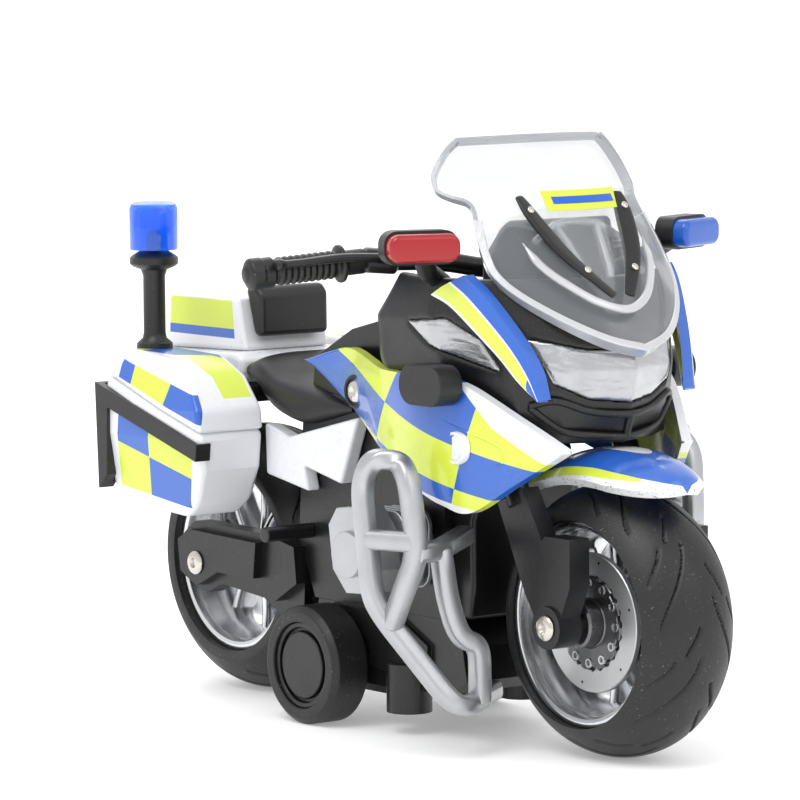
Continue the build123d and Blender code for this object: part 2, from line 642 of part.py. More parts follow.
# ---- windscreen ---------------------------------------------------------------------------------------
SCREEN_TIP = (31.8, 0, 36.2)
SCREEN_TOP = (18.0, 0, HEIGHT)
SCREEN_R = 17.6
SCREEN_THICK = 0.9
SCREEN_EDGE = both_halves(
    [(0, 36.2), (-5.4, 38.1), (-9.3, 41.0), (-11.1, 44.2), (-10.9, 46.4), (-9.9, 48.2), (-9.4, 49.4),
     (-11.3, 50.0), (-11.4, 50.6), (-8.0, 54.8)]
    + [(-4.0, HEIGHT - 0.05), (0, HEIGHT)]
)
screen_run = Vector(*SCREEN_TOP) - Vector(*SCREEN_TIP)
SCREEN = Plane(origin=SCREEN_TIP, x_dir=(0, 1, 0), z_dir=screen_run)
with BuildPart() as windscreen:
    with BuildSketch(SCREEN.offset(-3)):
        with Locations((0, SCREEN_R)):
            Circle(SCREEN_R)
            Circle(SCREEN_R - SCREEN_THICK, mode=Mode.SUBTRACT)
        with Locations((0, SCREEN_R + 9)):
            Rectangle(4 * SCREEN_R, 2 * SCREEN_R, mode=Mode.SUBTRACT)
    extrude(amount=screen_run.length + 6)
    seen_from_front(SCREEN_EDGE, Mode.INTERSECT)

with BuildPart() as nose_cowl:
    cowl_skin()
    seen_from_side(SIDE_LAMP, Mode.SUBTRACT)
    seen_from_front(HEADLAMP, Mode.SUBTRACT, HEADLAMP_BACK)
    seen_from_front(GRILLE, Mode.SUBTRACT, HEADLAMP_BACK)
    without(windscreen)
with BuildPart() as side_lamp_lenses:
    cowl_skin()
    seen_from_side(SIDE_LAMP, Mode.INTERSECT)
with BuildPart() as headlamp_lens:
    cowl_skin()
    seen_from_front(HEADLAMP, Mode.INTERSECT, HEADLAMP_BACK)
    without(windscreen)
with BuildPart() as intake_grille:
    cowl_skin()
    seen_from_front(GRILLE, Mode.INTERSECT, HEADLAMP_BACK)

BLADE = [(17.2, 41.0), (21.6, 42.9), (24.6, 40.0), (27.0, 36.4), (28.4, 32.4), (27.2, 32.6), (24.2, 36.0),
         (20.6, 39.4)]
BLADE_PLAN = [(16.0, -12.1), (22.0, -11.3), (28.6, -7.9)]
BLADE_THICK = 1.0
with BuildPart() as nose_blades:
    side_plate(BLADE, 4, 14)
    with BuildSketch(Plane.XY.offset(30)):
        with BuildLine():
            Polyline(*BLADE_PLAN)
        trace(line_width=BLADE_THICK)
    extrude(amount=15, mode=Mode.INTERSECT)
    other_side()
    without(nose_cowl, side_lamp_lenses, headlamp_lens, windscreen)

# ---- fairing panels -----------------------------------------------------------------------------------
PANEL = [(-7.8, 33.3), (-0.4, 35.0), (8.0, 33.7), (17.5, 34.1), (22.8, 32.3), (29.2, 27.6), (21.5, 21.9),
         (15.7, 23.4), (7.1, 26.9), (-2.1, 30.5)]
PANEL_PLAN = [(-8.6, -7.2), (0.0, -8.2), (10.0, -11.6), (17.0, -12.6), (23.0, -10.8), (29.5, -6.9)]
PANEL_THICK = 1.1
PANEL_SCREW = (1.7, 31.1)
with BuildPart() as fairing_panel_right:
    side_plate(PANEL, 5, 15)
    with BuildSketch(Plane.XY.offset(20)):
        with BuildLine():
            Spline(*PANEL_PLAN)
        trace(line_width=PANEL_THICK)
    extrude(amount=20, mode=Mode.INTERSECT)
    side_disc(PANEL_SCREW[0], PANEL_SCREW[1], 1.4, 5, 15, mode=Mode.SUBTRACT)
    without(nose_cowl, side_lamp_lenses, headlamp_lens, intake_grille)
with BuildPart() as fairing_panel_left:
    mirror(fairing_panel_right.part, about=Plane.XZ)
with BuildPart() as screws:
    side_disc(PANEL_SCREW[0], PANEL_SCREW[1], 0.7, 6.0, 8.0)
    side_disc(PANEL_SCREW[0], PANEL_SCREW[1], 1.35, 7.2, 8.2)
    with BuildSketch(facing_right(PANEL_SCREW[0], 7.9, PANEL_SCREW[1])):
        Rectangle(1.9, 0.35)
        Rectangle(0.35, 1.9)
    extrude(amount=0.4, mode=Mode.SUBTRACT)
    other_side()
    add(base_screws.part)
HORN_X = 18.4
HORN_SIZE = (6.0, 3.6)
HORN_Z = 33.2
HORN_SEAT = 12.3  # inside the panel's thickness, so that the horn is cut to sit on its outer face
HORN_DEEP = 2.5
with BuildPart() as siren_horns:
    with BuildSketch(facing_right(HORN_X, HORN_SEAT, HORN_Z)):
        RectangleRounded(*HORN_SIZE, 1.75)
    extrude(amount=HORN_DEEP)
    other_side()
    without(fairing_panel_right, fairing_panel_left, nose_cowl)
CLUSTER = [(16.4, 40.8), (16.4, 43.8), (19.6, 47.4), (20.8, 47.2), (22.4, 44.0), (22.4, 40.8)]
with BuildPart() as instrument_cluster:
    seen_from_side(CLUSTER, Mode.ADD)
    with BuildSketch(Plane.XY.offset(40)):
        Polygon(*mirrored_y([(15.0, -6.2), (19.0, -6.2), (22.6, -4.2), (22.6, 0)]))
    extrude(amount=10, mode=Mode.INTERSECT)
    without(windscreen)
BRACKET = [(20.0, -7.2, 48.2), (27.0, -3.6, 40.6)]
with BuildPart() as screen_brackets:
    rod(BRACKET[0], BRACKET[1], 1.0)
    other_side()
    without(windscreen, instrument_cluster, nose_cowl, headlamp_lens)
POD = (18.9, -15.2, 45.4)
POD_WIDE = 6.8
POD_TALL = 3.0
POD_DEEP = 1.8
POD_SWEEP = radians(20)
STALK = [(15.4, -9.8, 41.8), (16.6, -12.4, 43.0), (18.4, -14.4, 44.8)]


def pod_plane(forwards):
    """The right-hand lamp pod's upright plane, swept back, moved forwards along its own normal."""
    normal = Vector(cos(POD_SWEEP), -sin(POD_SWEEP), 0)
    across = (sin(POD_SWEEP), cos(POD_SWEEP), 0)
    return Plane(origin=Vector(*POD) + normal * forwards, x_dir=across, z_dir=normal)


with BuildPart() as lamp_pods:
    with BuildSketch(pod_plane(-POD_DEEP / 2)):
        RectangleRounded(POD_WIDE, POD_TALL, 1.2)
    extrude(amount=POD_DEEP)
    tube(STALK, 0.9)
    other_side()
    without(nose_cowl, side_lamp_lenses)
LENS_DEEP = 1.4
with BuildPart() as lamp_lens_red:
    with BuildSketch(pod_plane(POD_DEEP / 2)):
        RectangleRounded(POD_WIDE - 0.3, POD_TALL - 0.5, 1.0)
    extrude(amount=LENS_DEEP)
    fillet(lamp_lens_red.faces().sort_by(Axis(POD, pod_plane(0).z_dir))[-1].edges(), 0.5)
with BuildPart() as lamp_lens_blue:
    mirror(lamp_lens_red.part, about=Plane.XZ)

# ---- tank cover, seat, side panels and tail -----------------------------------------------------------
TANK_HALF = 6.4
with BuildPart() as tank_cover:
    with BuildSketch(Plane.XZ):
        Polygon((-8.4, SPINE_TOP), (-8.0, 33.4), (-2.3, 36.4), (2.6, 37.6), (5.0, 36.0), (5.0, SPINE_TOP))
    extrude(amount=TANK_HALF, both=True)
    chamfer(tank_cover.faces().filter_by(Axis.Z, reverse=True).edges().filter_by(Axis.Y).sort_by(Axis.Z)[-1:], 0.5)
    without(main_frame, screws, fairing_panel_right, fairing_panel_left)

SEAT_HALF = 8.2
with BuildPart() as seat:
    with BuildSketch(Plane.XZ):
        Polygon((-19.4, SPINE_TOP), (-19.4, 32.6), (-16.4, 33.0), (-12.4, 31.8), (-8.4, 31.4), (-1.8, 29.4),
                (-1.6, 28.4), (-9.8, 26.2), (-13.8, 27.2), (-17.0, 29.0))
    extrude(amount=SEAT_HALF, both=True)
    with BuildSketch(Plane.YZ.offset(-30)):
        Polygon(*both_halves([(0, 34), (-5.0, 34), (-7.4, 32.4), (-SEAT_HALF, 30), (-SEAT_HALF, 25), (0, 25)]))
    extrude(amount=40, mode=Mode.INTERSECT)
    with BuildSketch(Plane.XY.offset(20)):
        Rectangle(60, 2 * CHEEK_OUT + 0.2)
    extrude(amount=SPINE_TOP - 20, mode=Mode.SUBTRACT)
    without(main_frame, tank_cover, fairing_panel_right, fairing_panel_left)

with BuildPart() as side_panels:
    side_plate([(-13.6, 27.0), (-9.8, 26.0), (0.8, 28.6), (-1.9, 22.2), (-7.6, 23.4), (-6.9, 21.1), (-13.4, 22.2)],
               CHEEK_OUT, SEAT_HALF)
    other_side()
    without(seat, fairing_panel_right, fairing_panel_left, main_frame)

DECK_HALF = 6.6
with BuildPart() as tail_deck:
    with BuildSketch(Plane.XZ):
        Polygon((-36.0, SPINE_TOP), (-36.0, 31.8), (-34.0, 32.6), (-20.8, 33.0), (-19.4, 32.6), (-19.4, SPINE_TOP))
    extrude(amount=DECK_HALF, both=True)
    fillet(tail_deck.edges().filter_by(Axis.Z).group_by(Axis.X)[0], 2.0)
with BuildPart() as radio_box:
    with BuildSketch(Plane.XZ):
        Polygon((-34.0, 32.6), (-33.4, 37.8), (-22.4, 38.0), (-20.8, 33.0))
    extrude(amount=5.0, both=True)
    fillet(radio_box.edges().filter_by(Axis.Y).group_by(Axis.Z)[-1], 0.6)
with BuildPart() as back_pad:
    with BuildSketch(Plane.XZ):
        Polygon((-20.9, 34.4), (-22.3, 39.0), (-20.4, 39.2), (-19.6, 38.4), (-19.6, 34.4))
    extrude(amount=4.0, both=True)
    without(radio_box)
with BuildPart() as rear_mudguard:
    with BuildSketch(Plane.XZ):
        Polygon((-34.0, SPINE_LOW), (-36.4, 28.0), (-39.4, 21.0), (-38.6, 20.6), (-35.6, 26.8), (-33.0, 27.2))
    extrude(amount=3.2, both=True)
    with BuildSketch(Plane.XZ):
        Polygon((-36.0, SPINE_LOW), (-36.0, SPINE_TOP), (-32.0, SPINE_TOP), (-32.0, SPINE_LOW - 1.2),
                (-35.0, SPINE_LOW - 1.2))
    extrude(amount=3.9, both=True)
    without(main_frame)
with BuildPart() as tail_lamp:
    with BuildSketch(Plane.YZ.offset(TAIL_X)):
        with Locations((0, 30.0)):
            RectangleRounded(7.0, 2.6, 0.8)
    extrude(amount=4.2)
    without(tail_deck, rear_mudguard, main_frame)

# ---- panniers and beacon ------------------------------------------------------------------------------
CASE_IN = 9.0
CASE_OUT = 16.5
SPLIT = [(-28.5, 31.0), (-12.5, 26.5)]  # the line between a case and its lid
CASE_FRONT_VIEW = [(-CASE_IN, 17), (-CASE_IN, 34), (-13.4, 34), (-15.4, 32.4), (-CASE_OUT, 28.6), (-CASE_OUT, 25.6),
                   (-15.0, 17)]


def pannier(points):
    """A side view of the pannier, cut to its section as seen from the front, on both sides."""
    side_plate(points, CASE_IN, CASE_OUT)
    with BuildSketch(Plane.YZ.offset(TAIL_X)) as section:
        Polygon(*CASE_FRONT_VIEW)
    extrude(section.sketch, amount=LENGTH, mode=Mode.INTERSECT)
    other_side()


with BuildPart() as pannier_cases:
    pannier(SPLIT + [(-12.9, 23.0), (-14.4, 19.8), (-16.6, 18.3), (-26.6, 19.0), (-27.8, 20.4)])
with BuildPart() as pannier_lids:
    pannier(SPLIT + [(-12.8, 28.6), (-15.2, 31.4), (-18.8, 33.1), (-27.2, 33.4), (-28.3, 32.8)])
TRIM_IN = 15.2
TRIM_OUT = 16.9
with BuildPart() as pannier_trims:
    side_plate([(-28.9, 30.3), (-12.4, 25.6), (-12.6, 24.0), (-26.9, 28.0), (-27.0, 21.6), (-28.4, 20.2)],
               TRIM_IN, TRIM_OUT)
    other_side()
    without(pannier_cases, pannier_lids)
POLE = (-27.0, -11.2)
POLE_R = 1.05
FLANGE_Z = 41.1
DOME_R = 2.3
DOME_Z = (42.7, 47.2)
with BuildPart() as beacon_pole:
    with BuildSketch(Plane.XY.offset(33.2)):
        with Locations(POLE):
            Circle(POLE_R)
    extrude(amount=FLANGE_Z - 33.2)
    with BuildSketch(Plane.XY.offset(33.2)):
        with Locations(POLE):
            Circle(POLE_R + 0.7)
    extrude(amount=1.0)
    with BuildSketch(Plane.XY.offset(FLANGE_Z)):
        with Locations(POLE):
            Circle(DOME_R)
    extrude(amount=DOME_Z[0] - FLANGE_Z)
    chamfer(beacon_pole.edges().filter_by(GeomType.CIRCLE).sort_by(Axis.Z)[-2:-1], 0.4)
    without(pannier_lids)
with BuildPart() as beacon_lens:
    with BuildSketch(Plane.XY.offset(DOME_Z[0])):
        with Locations(POLE):
            Circle(DOME_R)
    extrude(amount=DOME_Z[1] - DOME_Z[0])
    fillet(beacon_lens.faces().sort_by(Axis.Z)[-1].edges(), 0.5)
    with BuildSketch(Plane.XY.offset(DOME_Z[0])):
        with Locations(POLE):
            Circle(DOME_R - 0.5)
    extrude(amount=DOME_Z[1] - DOME_Z[0] - 0.6, mode=Mode.SUBTRACT)
with BuildPart() as beacon_bulb:
    with BuildSketch(Plane.XY.offset(DOME_Z[0])):
        with Locations(POLE):
            Circle(0.8)
    extrude(amount=2.0)
    fillet(beacon_bulb.faces().sort_by(Axis.Z)[-1].edges(), 0.6)

# ---- pegs and exhaust ---------------------------------------------------------------------------------
PEG = [(-8.6, -CHEEK_OUT, 17.2), (-8.6, -12.0, 17.2)]
with BuildPart() as foot_pegs:
    rod(PEG[0], PEG[1], 0.7)
    other_side()
PIPE = [(6.0, CHEEK_OUT, 12.4), (6.0, 9.2, 12.4), (-7.0, 10.2, 12.4), (-18.0, 11.7, 14.6)]
PIPE_BEND = 1.5
MUFFLER = [(-15.0, 11.6, 14.4), (-32.0, 12.0, 15.6)]
with BuildPart() as exhaust:
    with BuildLine() as header:
        FilletPolyline(*PIPE, radius=PIPE_BEND)
    with BuildSketch(Plane(origin=PIPE[0], z_dir=(0, 1, 0))):
        Circle(0.9)
    sweep(path=header.line)
    rod(MUFFLER[0], MUFFLER[1], 2.3)

PIECES = {
    "front_tyre": front_tyre, "front_rim": front_rim, "brake_discs": brake_discs, "front_axle": front_axle,
    "rear_tyre": rear_tyre, "rear_rim": rear_rim, "rear_axle": rear_axle,
    "fork_legs": fork_legs, "steering_stem": steering_stem,
    "handlebar": handlebar, "grips": grips, "levers": levers, "front_fender": front_fender,
    "main_frame": main_frame, "lower_frame": lower_frame, "swing_arm": swing_arm,
    "drive_axle": drive_axle, "drive_pinion": drive_pinion, "idler_gear": idler_gear,
    "barrel_gear": barrel_gear, "mainspring": mainspring,
    "motor_shell_right": motor_shell_right, "motor_shell_left": motor_shell_left,
    "motor_wheels": motor_wheels, "motor_tyres": motor_tyres,
    "engine_block": engine_block, "cylinder_heads": cylinder_heads,
    "crash_bar_right": crash_bar_right, "crash_bar_left": crash_bar_left,
    "windscreen": windscreen, "nose_cowl": nose_cowl, "side_lamp_lenses": side_lamp_lenses,
    "headlamp_lens": headlamp_lens, "intake_grille": intake_grille, "nose_blades": nose_blades,
    "fairing_panel_right": fairing_panel_right, "fairing_panel_left": fairing_panel_left,
    "screws": screws, "siren_horns": siren_horns,
    "instrument_cluster": instrument_cluster, "screen_brackets": screen_brackets,
    "lamp_pods": lamp_pods, "lamp_lens_red": lamp_lens_red, "lamp_lens_blue": lamp_lens_blue,
    "tank_cover": tank_cover, "seat": seat, "side_panels": side_panels, "tail_deck": tail_deck,
    "radio_box": radio_box, "back_pad": back_pad, "rear_mudguard": rear_mudguard, "tail_lamp": tail_lamp,
    "pannier_cases": pannier_cases, "pannier_lids": pannier_lids, "pannier_trims": pannier_trims,
    "beacon_pole": beacon_pole, "beacon_lens": beacon_lens, "beacon_bulb": beacon_bulb,
    "foot_pegs": foot_pegs, "exhaust": exhaust,
}
for label, builder in PIECES.items():
    keep(builder, label)
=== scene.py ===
"""The looks of a small die-cast police motorcycle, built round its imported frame.

Lengths are given in millimetres and turned into metres when a mesh is made. +X is forwards, +Y is the
rider's left and +Z is up, as in the frame. Each sub-assembly is a class with its own sizes.
"""

import logging
import math
from collections.abc import Sequence
from dataclasses import dataclass, field
from enum import Enum

import bmesh
import bpy
import numpy as np
from mathutils import Matrix, Vector


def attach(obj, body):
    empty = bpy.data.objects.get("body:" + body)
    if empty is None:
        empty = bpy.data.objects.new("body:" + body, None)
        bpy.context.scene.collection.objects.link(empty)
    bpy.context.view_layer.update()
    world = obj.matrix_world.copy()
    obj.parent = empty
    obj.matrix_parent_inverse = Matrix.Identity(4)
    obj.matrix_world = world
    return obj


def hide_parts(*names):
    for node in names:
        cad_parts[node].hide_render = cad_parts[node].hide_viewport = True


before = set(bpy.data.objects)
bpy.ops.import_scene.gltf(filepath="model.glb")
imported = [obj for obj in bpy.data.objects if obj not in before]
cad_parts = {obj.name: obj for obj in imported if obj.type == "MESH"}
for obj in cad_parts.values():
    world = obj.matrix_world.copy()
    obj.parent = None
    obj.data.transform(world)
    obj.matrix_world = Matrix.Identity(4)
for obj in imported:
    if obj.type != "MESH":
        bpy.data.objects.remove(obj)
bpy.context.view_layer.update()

log = logging.getLogger("motorcycle")
MM = 0.001
FULL_TURN = 2 * math.pi
Colour = tuple[float, float, float]
Pair = tuple[float, float]
Triple = tuple[float, float, float]


class Body(Enum):
    """The moving bodies that pieces ride on."""

    CHASSIS = "chassis"
    STEERING = "steering"
    FRONT_WHEEL = "front_wheel"
    REAR_WHEEL = "rear_wheel"
    DRIVE = "drive"
    IDLER = "idler"
    BARREL = "barrel"


class Side(Enum):
    """The two sides of the motorcycle, with the sign of Y on each."""

    RIGHT = -1
    LEFT = 1


# ---- surfaces ------------------------------------------------------------------------------------------
def grid_faces(rows: int, columns: int, loop_rows: bool = False, loop_columns: bool = False) -> np.ndarray:
    """Quads between neighbouring points of a grid stored row by row.

    Args:
        rows: Number of rows of points.
        columns: Number of points in a row.
        loop_rows: Whether the last row joins the first.
        loop_columns: Whether each row's last point joins its first.

    Returns:
        An array of four point numbers for each quad.
    """
    row = np.arange(rows if loop_rows else rows - 1)[:, None]
    column = np.arange(columns if loop_columns else columns - 1)[None, :]
    next_row = (row + 1) % rows
    next_column = (column + 1) % columns
    corners = [row * columns + column, row * columns + next_column,
               next_row * columns + next_column, next_row * columns + column]
    return np.stack([np.broadcast_to(corner, corners[0].shape).ravel() for corner in corners], axis=1)


def finish_mesh(mesh: bpy.types.Mesh, sharp_degrees: float = 40.0) -> None:
    """Joins doubled points, turns every face outwards and shades the mesh smooth up to an angle."""
    work = bmesh.new()
    work.from_mesh(mesh)
    bmesh.ops.remove_doubles(work, verts=work.verts, dist=1e-6)
    bmesh.ops.dissolve_degenerate(work, edges=work.edges, dist=1e-7)
    bmesh.ops.recalc_face_normals(work, faces=work.faces)
    work.to_mesh(mesh)
    work.free()
    mesh.shade_smooth()
    mesh.set_sharp_from_angle(angle=math.radians(sharp_degrees))


def solid(name: str, points: np.ndarray, faces: np.ndarray | list, uv: np.ndarray | None = None,
          sharp_degrees: float = 40.0) -> bpy.types.Object:
    """Makes an object of points in millimetres.

    Args:
        name: The piece's name.
        points: Array of points, any shape ending in 3.
        faces: Point numbers of each face.
        uv: Optional surface place of each point, for patterns that follow the surface.
        sharp_degrees: Edges sharper than this stay sharp in shading.

    Returns:
        The new object, at the origin.
    """
    mesh = bpy.data.meshes.new(name)
    mesh.from_pydata((points.reshape(-1, 3) * MM).tolist(), [], np.asarray(faces).tolist())
    if uv is not None:
        layer = mesh.uv_layers.new(name="surface")
        corner_points = np.empty(len(mesh.loops), dtype=np.int32)
        mesh.loops.foreach_get("vertex_index", corner_points)
        layer.data.foreach_set("uv", uv.reshape(-1, 2)[corner_points].astype(np.float32).ravel())
    finish_mesh(mesh, sharp_degrees)
    piece = bpy.data.objects.new(name, mesh)
    bpy.context.scene.collection.objects.link(piece)
    return piece


def slab(name: str, outer: np.ndarray, inner: np.ndarray, rounding: float = 0.0) -> bpy.types.Object:
    """A closed plate between two grids of points of the same shape, with the grid's own places as its map.

    Args:
        name: The piece's name.
        outer: Rows by columns by 3, the outside surface.
        inner: The same grid on the inside surface.
        rounding: Width of the rounded border.

    Returns:
        The new object.
    """
    rows, columns = outer.shape[:2]
    count = rows * columns
    skin = grid_faces(rows, columns)
    border = np.concatenate([
        np.arange(columns), np.arange(1, rows) * columns + columns - 1,
        (rows - 1) * columns + np.arange(columns - 2, -1, -1), np.arange(rows - 2, 0, -1) * columns,
    ])
    following = np.roll(border, -1)
    wall = np.stack([border, border + count, following + count, following], axis=1)
    faces = np.concatenate([skin, skin[:, ::-1] + count, wall])
    across, along = np.meshgrid(np.linspace(0, 1, columns), np.linspace(0, 1, rows))
    places = np.stack([along, across], axis=2)
    piece = solid(name, np.concatenate([outer.reshape(-1, 3), inner.reshape(-1, 3)]), faces,
                  np.concatenate([places.reshape(-1, 2)] * 2))
    if rounding:
        round_edges(piece, rounding)
    return piece


def lathe(name: str, centre: Triple, profile: np.ndarray, steps: int = 128) -> bpy.types.Object:
    """Turns a closed profile of (radius, Y) about the Y axis through centre.

    Each point is centre + (r cos a, y, r sin a), with a going once round.

    Args:
        name: The piece's name.
        centre: A point on the axis, which runs along Y.
        profile: Closed outline of (radius, Y from centre).
        steps: Steps round the axis.

    Returns:
        The new object.
    """
    angle = np.linspace(0, FULL_TURN, steps, endpoint=False)[:, None]
    radius, height = profile[None, :, 0], profile[None, :, 1]
    points = np.stack([centre[0] + radius * np.cos(angle), centre[1] + height + 0 * angle,
                       centre[2] + radius * np.sin(angle)], axis=2)
    return solid(name, points, grid_faces(steps, profile.shape[0], True, True))


def upright_lathe(name: str, centre: Triple, profile: np.ndarray, steps: int = 64) -> bpy.types.Object:
    """Turns a closed profile of (radius, Z) about the vertical through centre."""
    angle = np.linspace(0, FULL_TURN, steps, endpoint=False)[:, None]
    radius, height = profile[None, :, 0], profile[None, :, 1]
    points = np.stack([centre[0] + radius * np.cos(angle), centre[1] + radius * np.sin(angle),
                       centre[2] + height + 0 * angle], axis=2)
    return solid(name, points, grid_faces(steps, profile.shape[0], True, True))


def wavy_ring(name: str, centre: Triple, inner: np.ndarray, outer: np.ndarray, near: float,
              far: float, chamfer: float = 0.08) -> bpy.types.Object:
    """A flat ring about Y whose two radii may vary round it.

    Args:
        name: The piece's name.
        centre: A point on the axis.
        inner: Inner radius at equal steps round the axis.
        outer: Outer radius at the same steps.
        near: Y of one face, from centre.
        far: Y of the other face.
        chamfer: Size of the corner breaks.

    Returns:
        The new object.
    """
    angle = np.linspace(0, FULL_TURN, inner.size, endpoint=False)[:, None]
    step = math.copysign(chamfer, far - near)
    radius = np.stack([inner + chamfer, outer - chamfer, outer, outer, outer - chamfer, inner + chamfer,
                       inner, inner], axis=1)
    height = np.array([near, near, near + step, far - step, far, far, far - step, near + step])[None, :]
    points = np.stack([centre[0] + radius * np.cos(angle), centre[1] + height + 0 * angle,
                       centre[2] + radius * np.sin(angle)], axis=2)
    return solid(name, points, grid_faces(inner.size, 8, True, True), sharp_degrees=30)


def curve_through(points: Sequence[Sequence[float]], count: int) -> np.ndarray:
    """A smooth curve through points, by Catmull-Rom cubics between neighbours.

    Args:
        points: The places to pass through.
        count: How many samples to take, evenly in the curve's own parameter.

    Returns:
        Array of count samples.
    """
    given = np.asarray(points, dtype=float)
    ends = np.concatenate([[2 * given[0] - given[1]], given, [2 * given[-1] - given[-2]]])
    place = np.linspace(0, len(given) - 1, count)
    span = np.minimum(place.astype(int), len(given) - 2)
    t = (place - span)[:, None]
    before, start, end, after = (ends[span + shift] for shift in range(4))
    return 0.5 * (2 * start + (end - before) * t + (2 * before - 5 * start + 4 * end - after) * t ** 2
                  + (3 * start - before - 3 * end + after) * t ** 3)


def rounded_route(points: Sequence[Triple], cut: float, steps: int = 9) -> np.ndarray:
    """A route of straight runs whose corners are rounded.

    Args:
        points: The route's corners and ends.
        cut: How far from each corner its bend starts and ends, at most 0.45 of the run beside it.
        steps: Samples on each bend.

    Returns:
        Array of places along the route.
    """
    given = np.asarray(points, dtype=float)
    runs = np.linalg.norm(np.diff(given, axis=0), axis=1)
    t = np.linspace(0, 1, steps)[:, None]
    places = [given[:1]]
    for corner in range(1, len(given) - 1):
        back = min(cut, 0.45 * runs[corner - 1])
        ahead = min(cut, 0.45 * runs[corner])
        start = given[corner] + (given[corner - 1] - given[corner]) * back / runs[corner - 1]
        end = given[corner] + (given[corner + 1] - given[corner]) * ahead / runs[corner]
        places.append((1 - t) ** 2 * start + 2 * t * (1 - t) * given[corner] + t ** 2 * end)
    places.append(given[-1:])
    return np.concatenate(places)


def section(half_width: float, half_height: float, power: float = 2.0, count: int = 24) -> np.ndarray:
    """A superellipse outline: a power of 2 is an ellipse, and a higher power is a rounder-cornered box."""
    angle = np.linspace(0, FULL_TURN, count, endpoint=False)
    cosine, sine = np.cos(angle), np.sin(angle)
    return np.stack([half_width * np.sign(cosine) * np.abs(cosine) ** (2 / power),
                     half_height * np.sign(sine) * np.abs(sine) ** (2 / power)], axis=1)


def sweep(name: str, path: np.ndarray, outline: np.ndarray, across: Triple, swell: np.ndarray | None = None,
          ) -> bpy.types.Object:
    """Carries an outline along a path and closes both ends with a small dome.

    The outline's first axis stays in the plane of the path's direction and across, at right angles to the
    direction, and its second axis is at right angles to both.

    Args:
        name: The piece's name.
        path: Array of places along the middle.
        outline: Array of (first, second) places round the section.
        across: A direction that the path never runs along.
        swell: Optional size of the section at each place.

    Returns:
        The new object.
    """
    ahead = np.gradient(path, axis=0)
    ahead /= np.linalg.norm(ahead, axis=1, keepdims=True)
    reference = np.asarray(across, dtype=float)
    first = reference - ahead * (ahead @ reference)[:, None]
    first /= np.linalg.norm(first, axis=1, keepdims=True)
    second = np.cross(ahead, first)
    size = np.ones(len(path)) if swell is None else np.asarray(swell)
    rings = (path[:, None, :] + size[:, None, None] * (outline[None, :, :1] * first[:, None, :]
                                                     + outline[None, :, 1:] * second[:, None, :]))
    dome = np.array([[0.0], [0.7], [0.9]])
    depth = np.abs(outline).min(axis=1).max() + 0.25 * np.abs(outline).max()
    lift = depth * 0.35 * np.array([[1.0], [0.7], [0.35]])
    start = (path[0] - size[0] * lift * ahead[0])[:, None, :] + dome[:, :, None] * (rings[0] - path[0])[None]
    end = (path[-1] + size[-1] * lift * ahead[-1])[:, None, :] + dome[:, :, None] * (rings[-1] - path[-1])[None]
    rings = np.concatenate([start, rings, end[::-1]])
    return solid(name, rings, grid_faces(len(rings), outline.shape[0], False, True))


def loft(name: str, rings: np.ndarray) -> bpy.types.Object:
    """Joins closed rings of points in order, and closes each end at its middle."""
    start = np.broadcast_to(rings[:1].mean(axis=1, keepdims=True), rings[:1].shape)
    end = np.broadcast_to(rings[-1:].mean(axis=1, keepdims=True), rings[-1:].shape)
    whole = np.concatenate([start, rings, end])
    return solid(name, whole, grid_faces(len(whole), rings.shape[1], False, True))


def round_edges(piece: bpy.types.Object, width: float, segments: int = 3, degrees: float = 30.0) -> None:
    """Rounds a piece's sharp edges with a live bevel, and evens its shading.

    Args:
        piece: The piece.
        width: Width of the rounding, in millimetres.
        segments: Facets across the rounding.
        degrees: Edges sharper than this are rounded.
    """
    bevel = piece.modifiers.new("rounded edges", "BEVEL")
    bevel.width = width * MM
    bevel.segments = segments
    bevel.limit_method = "ANGLE"
    bevel.angle_limit = math.radians(degrees)
    bevel.use_clamp_overlap = True
    bevel.miter_outer = "MITER_ARC"
    shading = piece.modifiers.new("even shading", "WEIGHTED_NORMAL")
    shading.keep_sharp = True


def softened(node: str, width: float, segments: int = 3, degrees: float = 30.0) -> bpy.types.Object:
    """A copy of a frame node with its triangles joined into whole faces and its edges rounded.

    Args:
        node: The frame node's name.
        width: Width of the rounding, or 0 for none.
        segments: Facets across the rounding.
        degrees: Edges sharper than this are rounded.

    Returns:
        The new object.
    """
    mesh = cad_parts[node].data.copy()
    mesh.name = f"{node}_finished"
    mesh.materials.clear()
    work = bmesh.new()
    work.from_mesh(mesh)
    bmesh.ops.remove_doubles(work, verts=work.verts, dist=2e-6)
    bmesh.ops.dissolve_limit(work, angle_limit=math.radians(0.8), verts=work.verts, edges=work.edges)
    work.to_mesh(mesh)
    work.free()
    mesh.shade_smooth()
    mesh.set_sharp_from_angle(angle=math.radians(degrees))
    piece = bpy.data.objects.new(f"{node}_finished", mesh)
    bpy.context.scene.collection.objects.link(piece)
    if width:
        round_edges(piece, width, segments, degrees)
    return piece


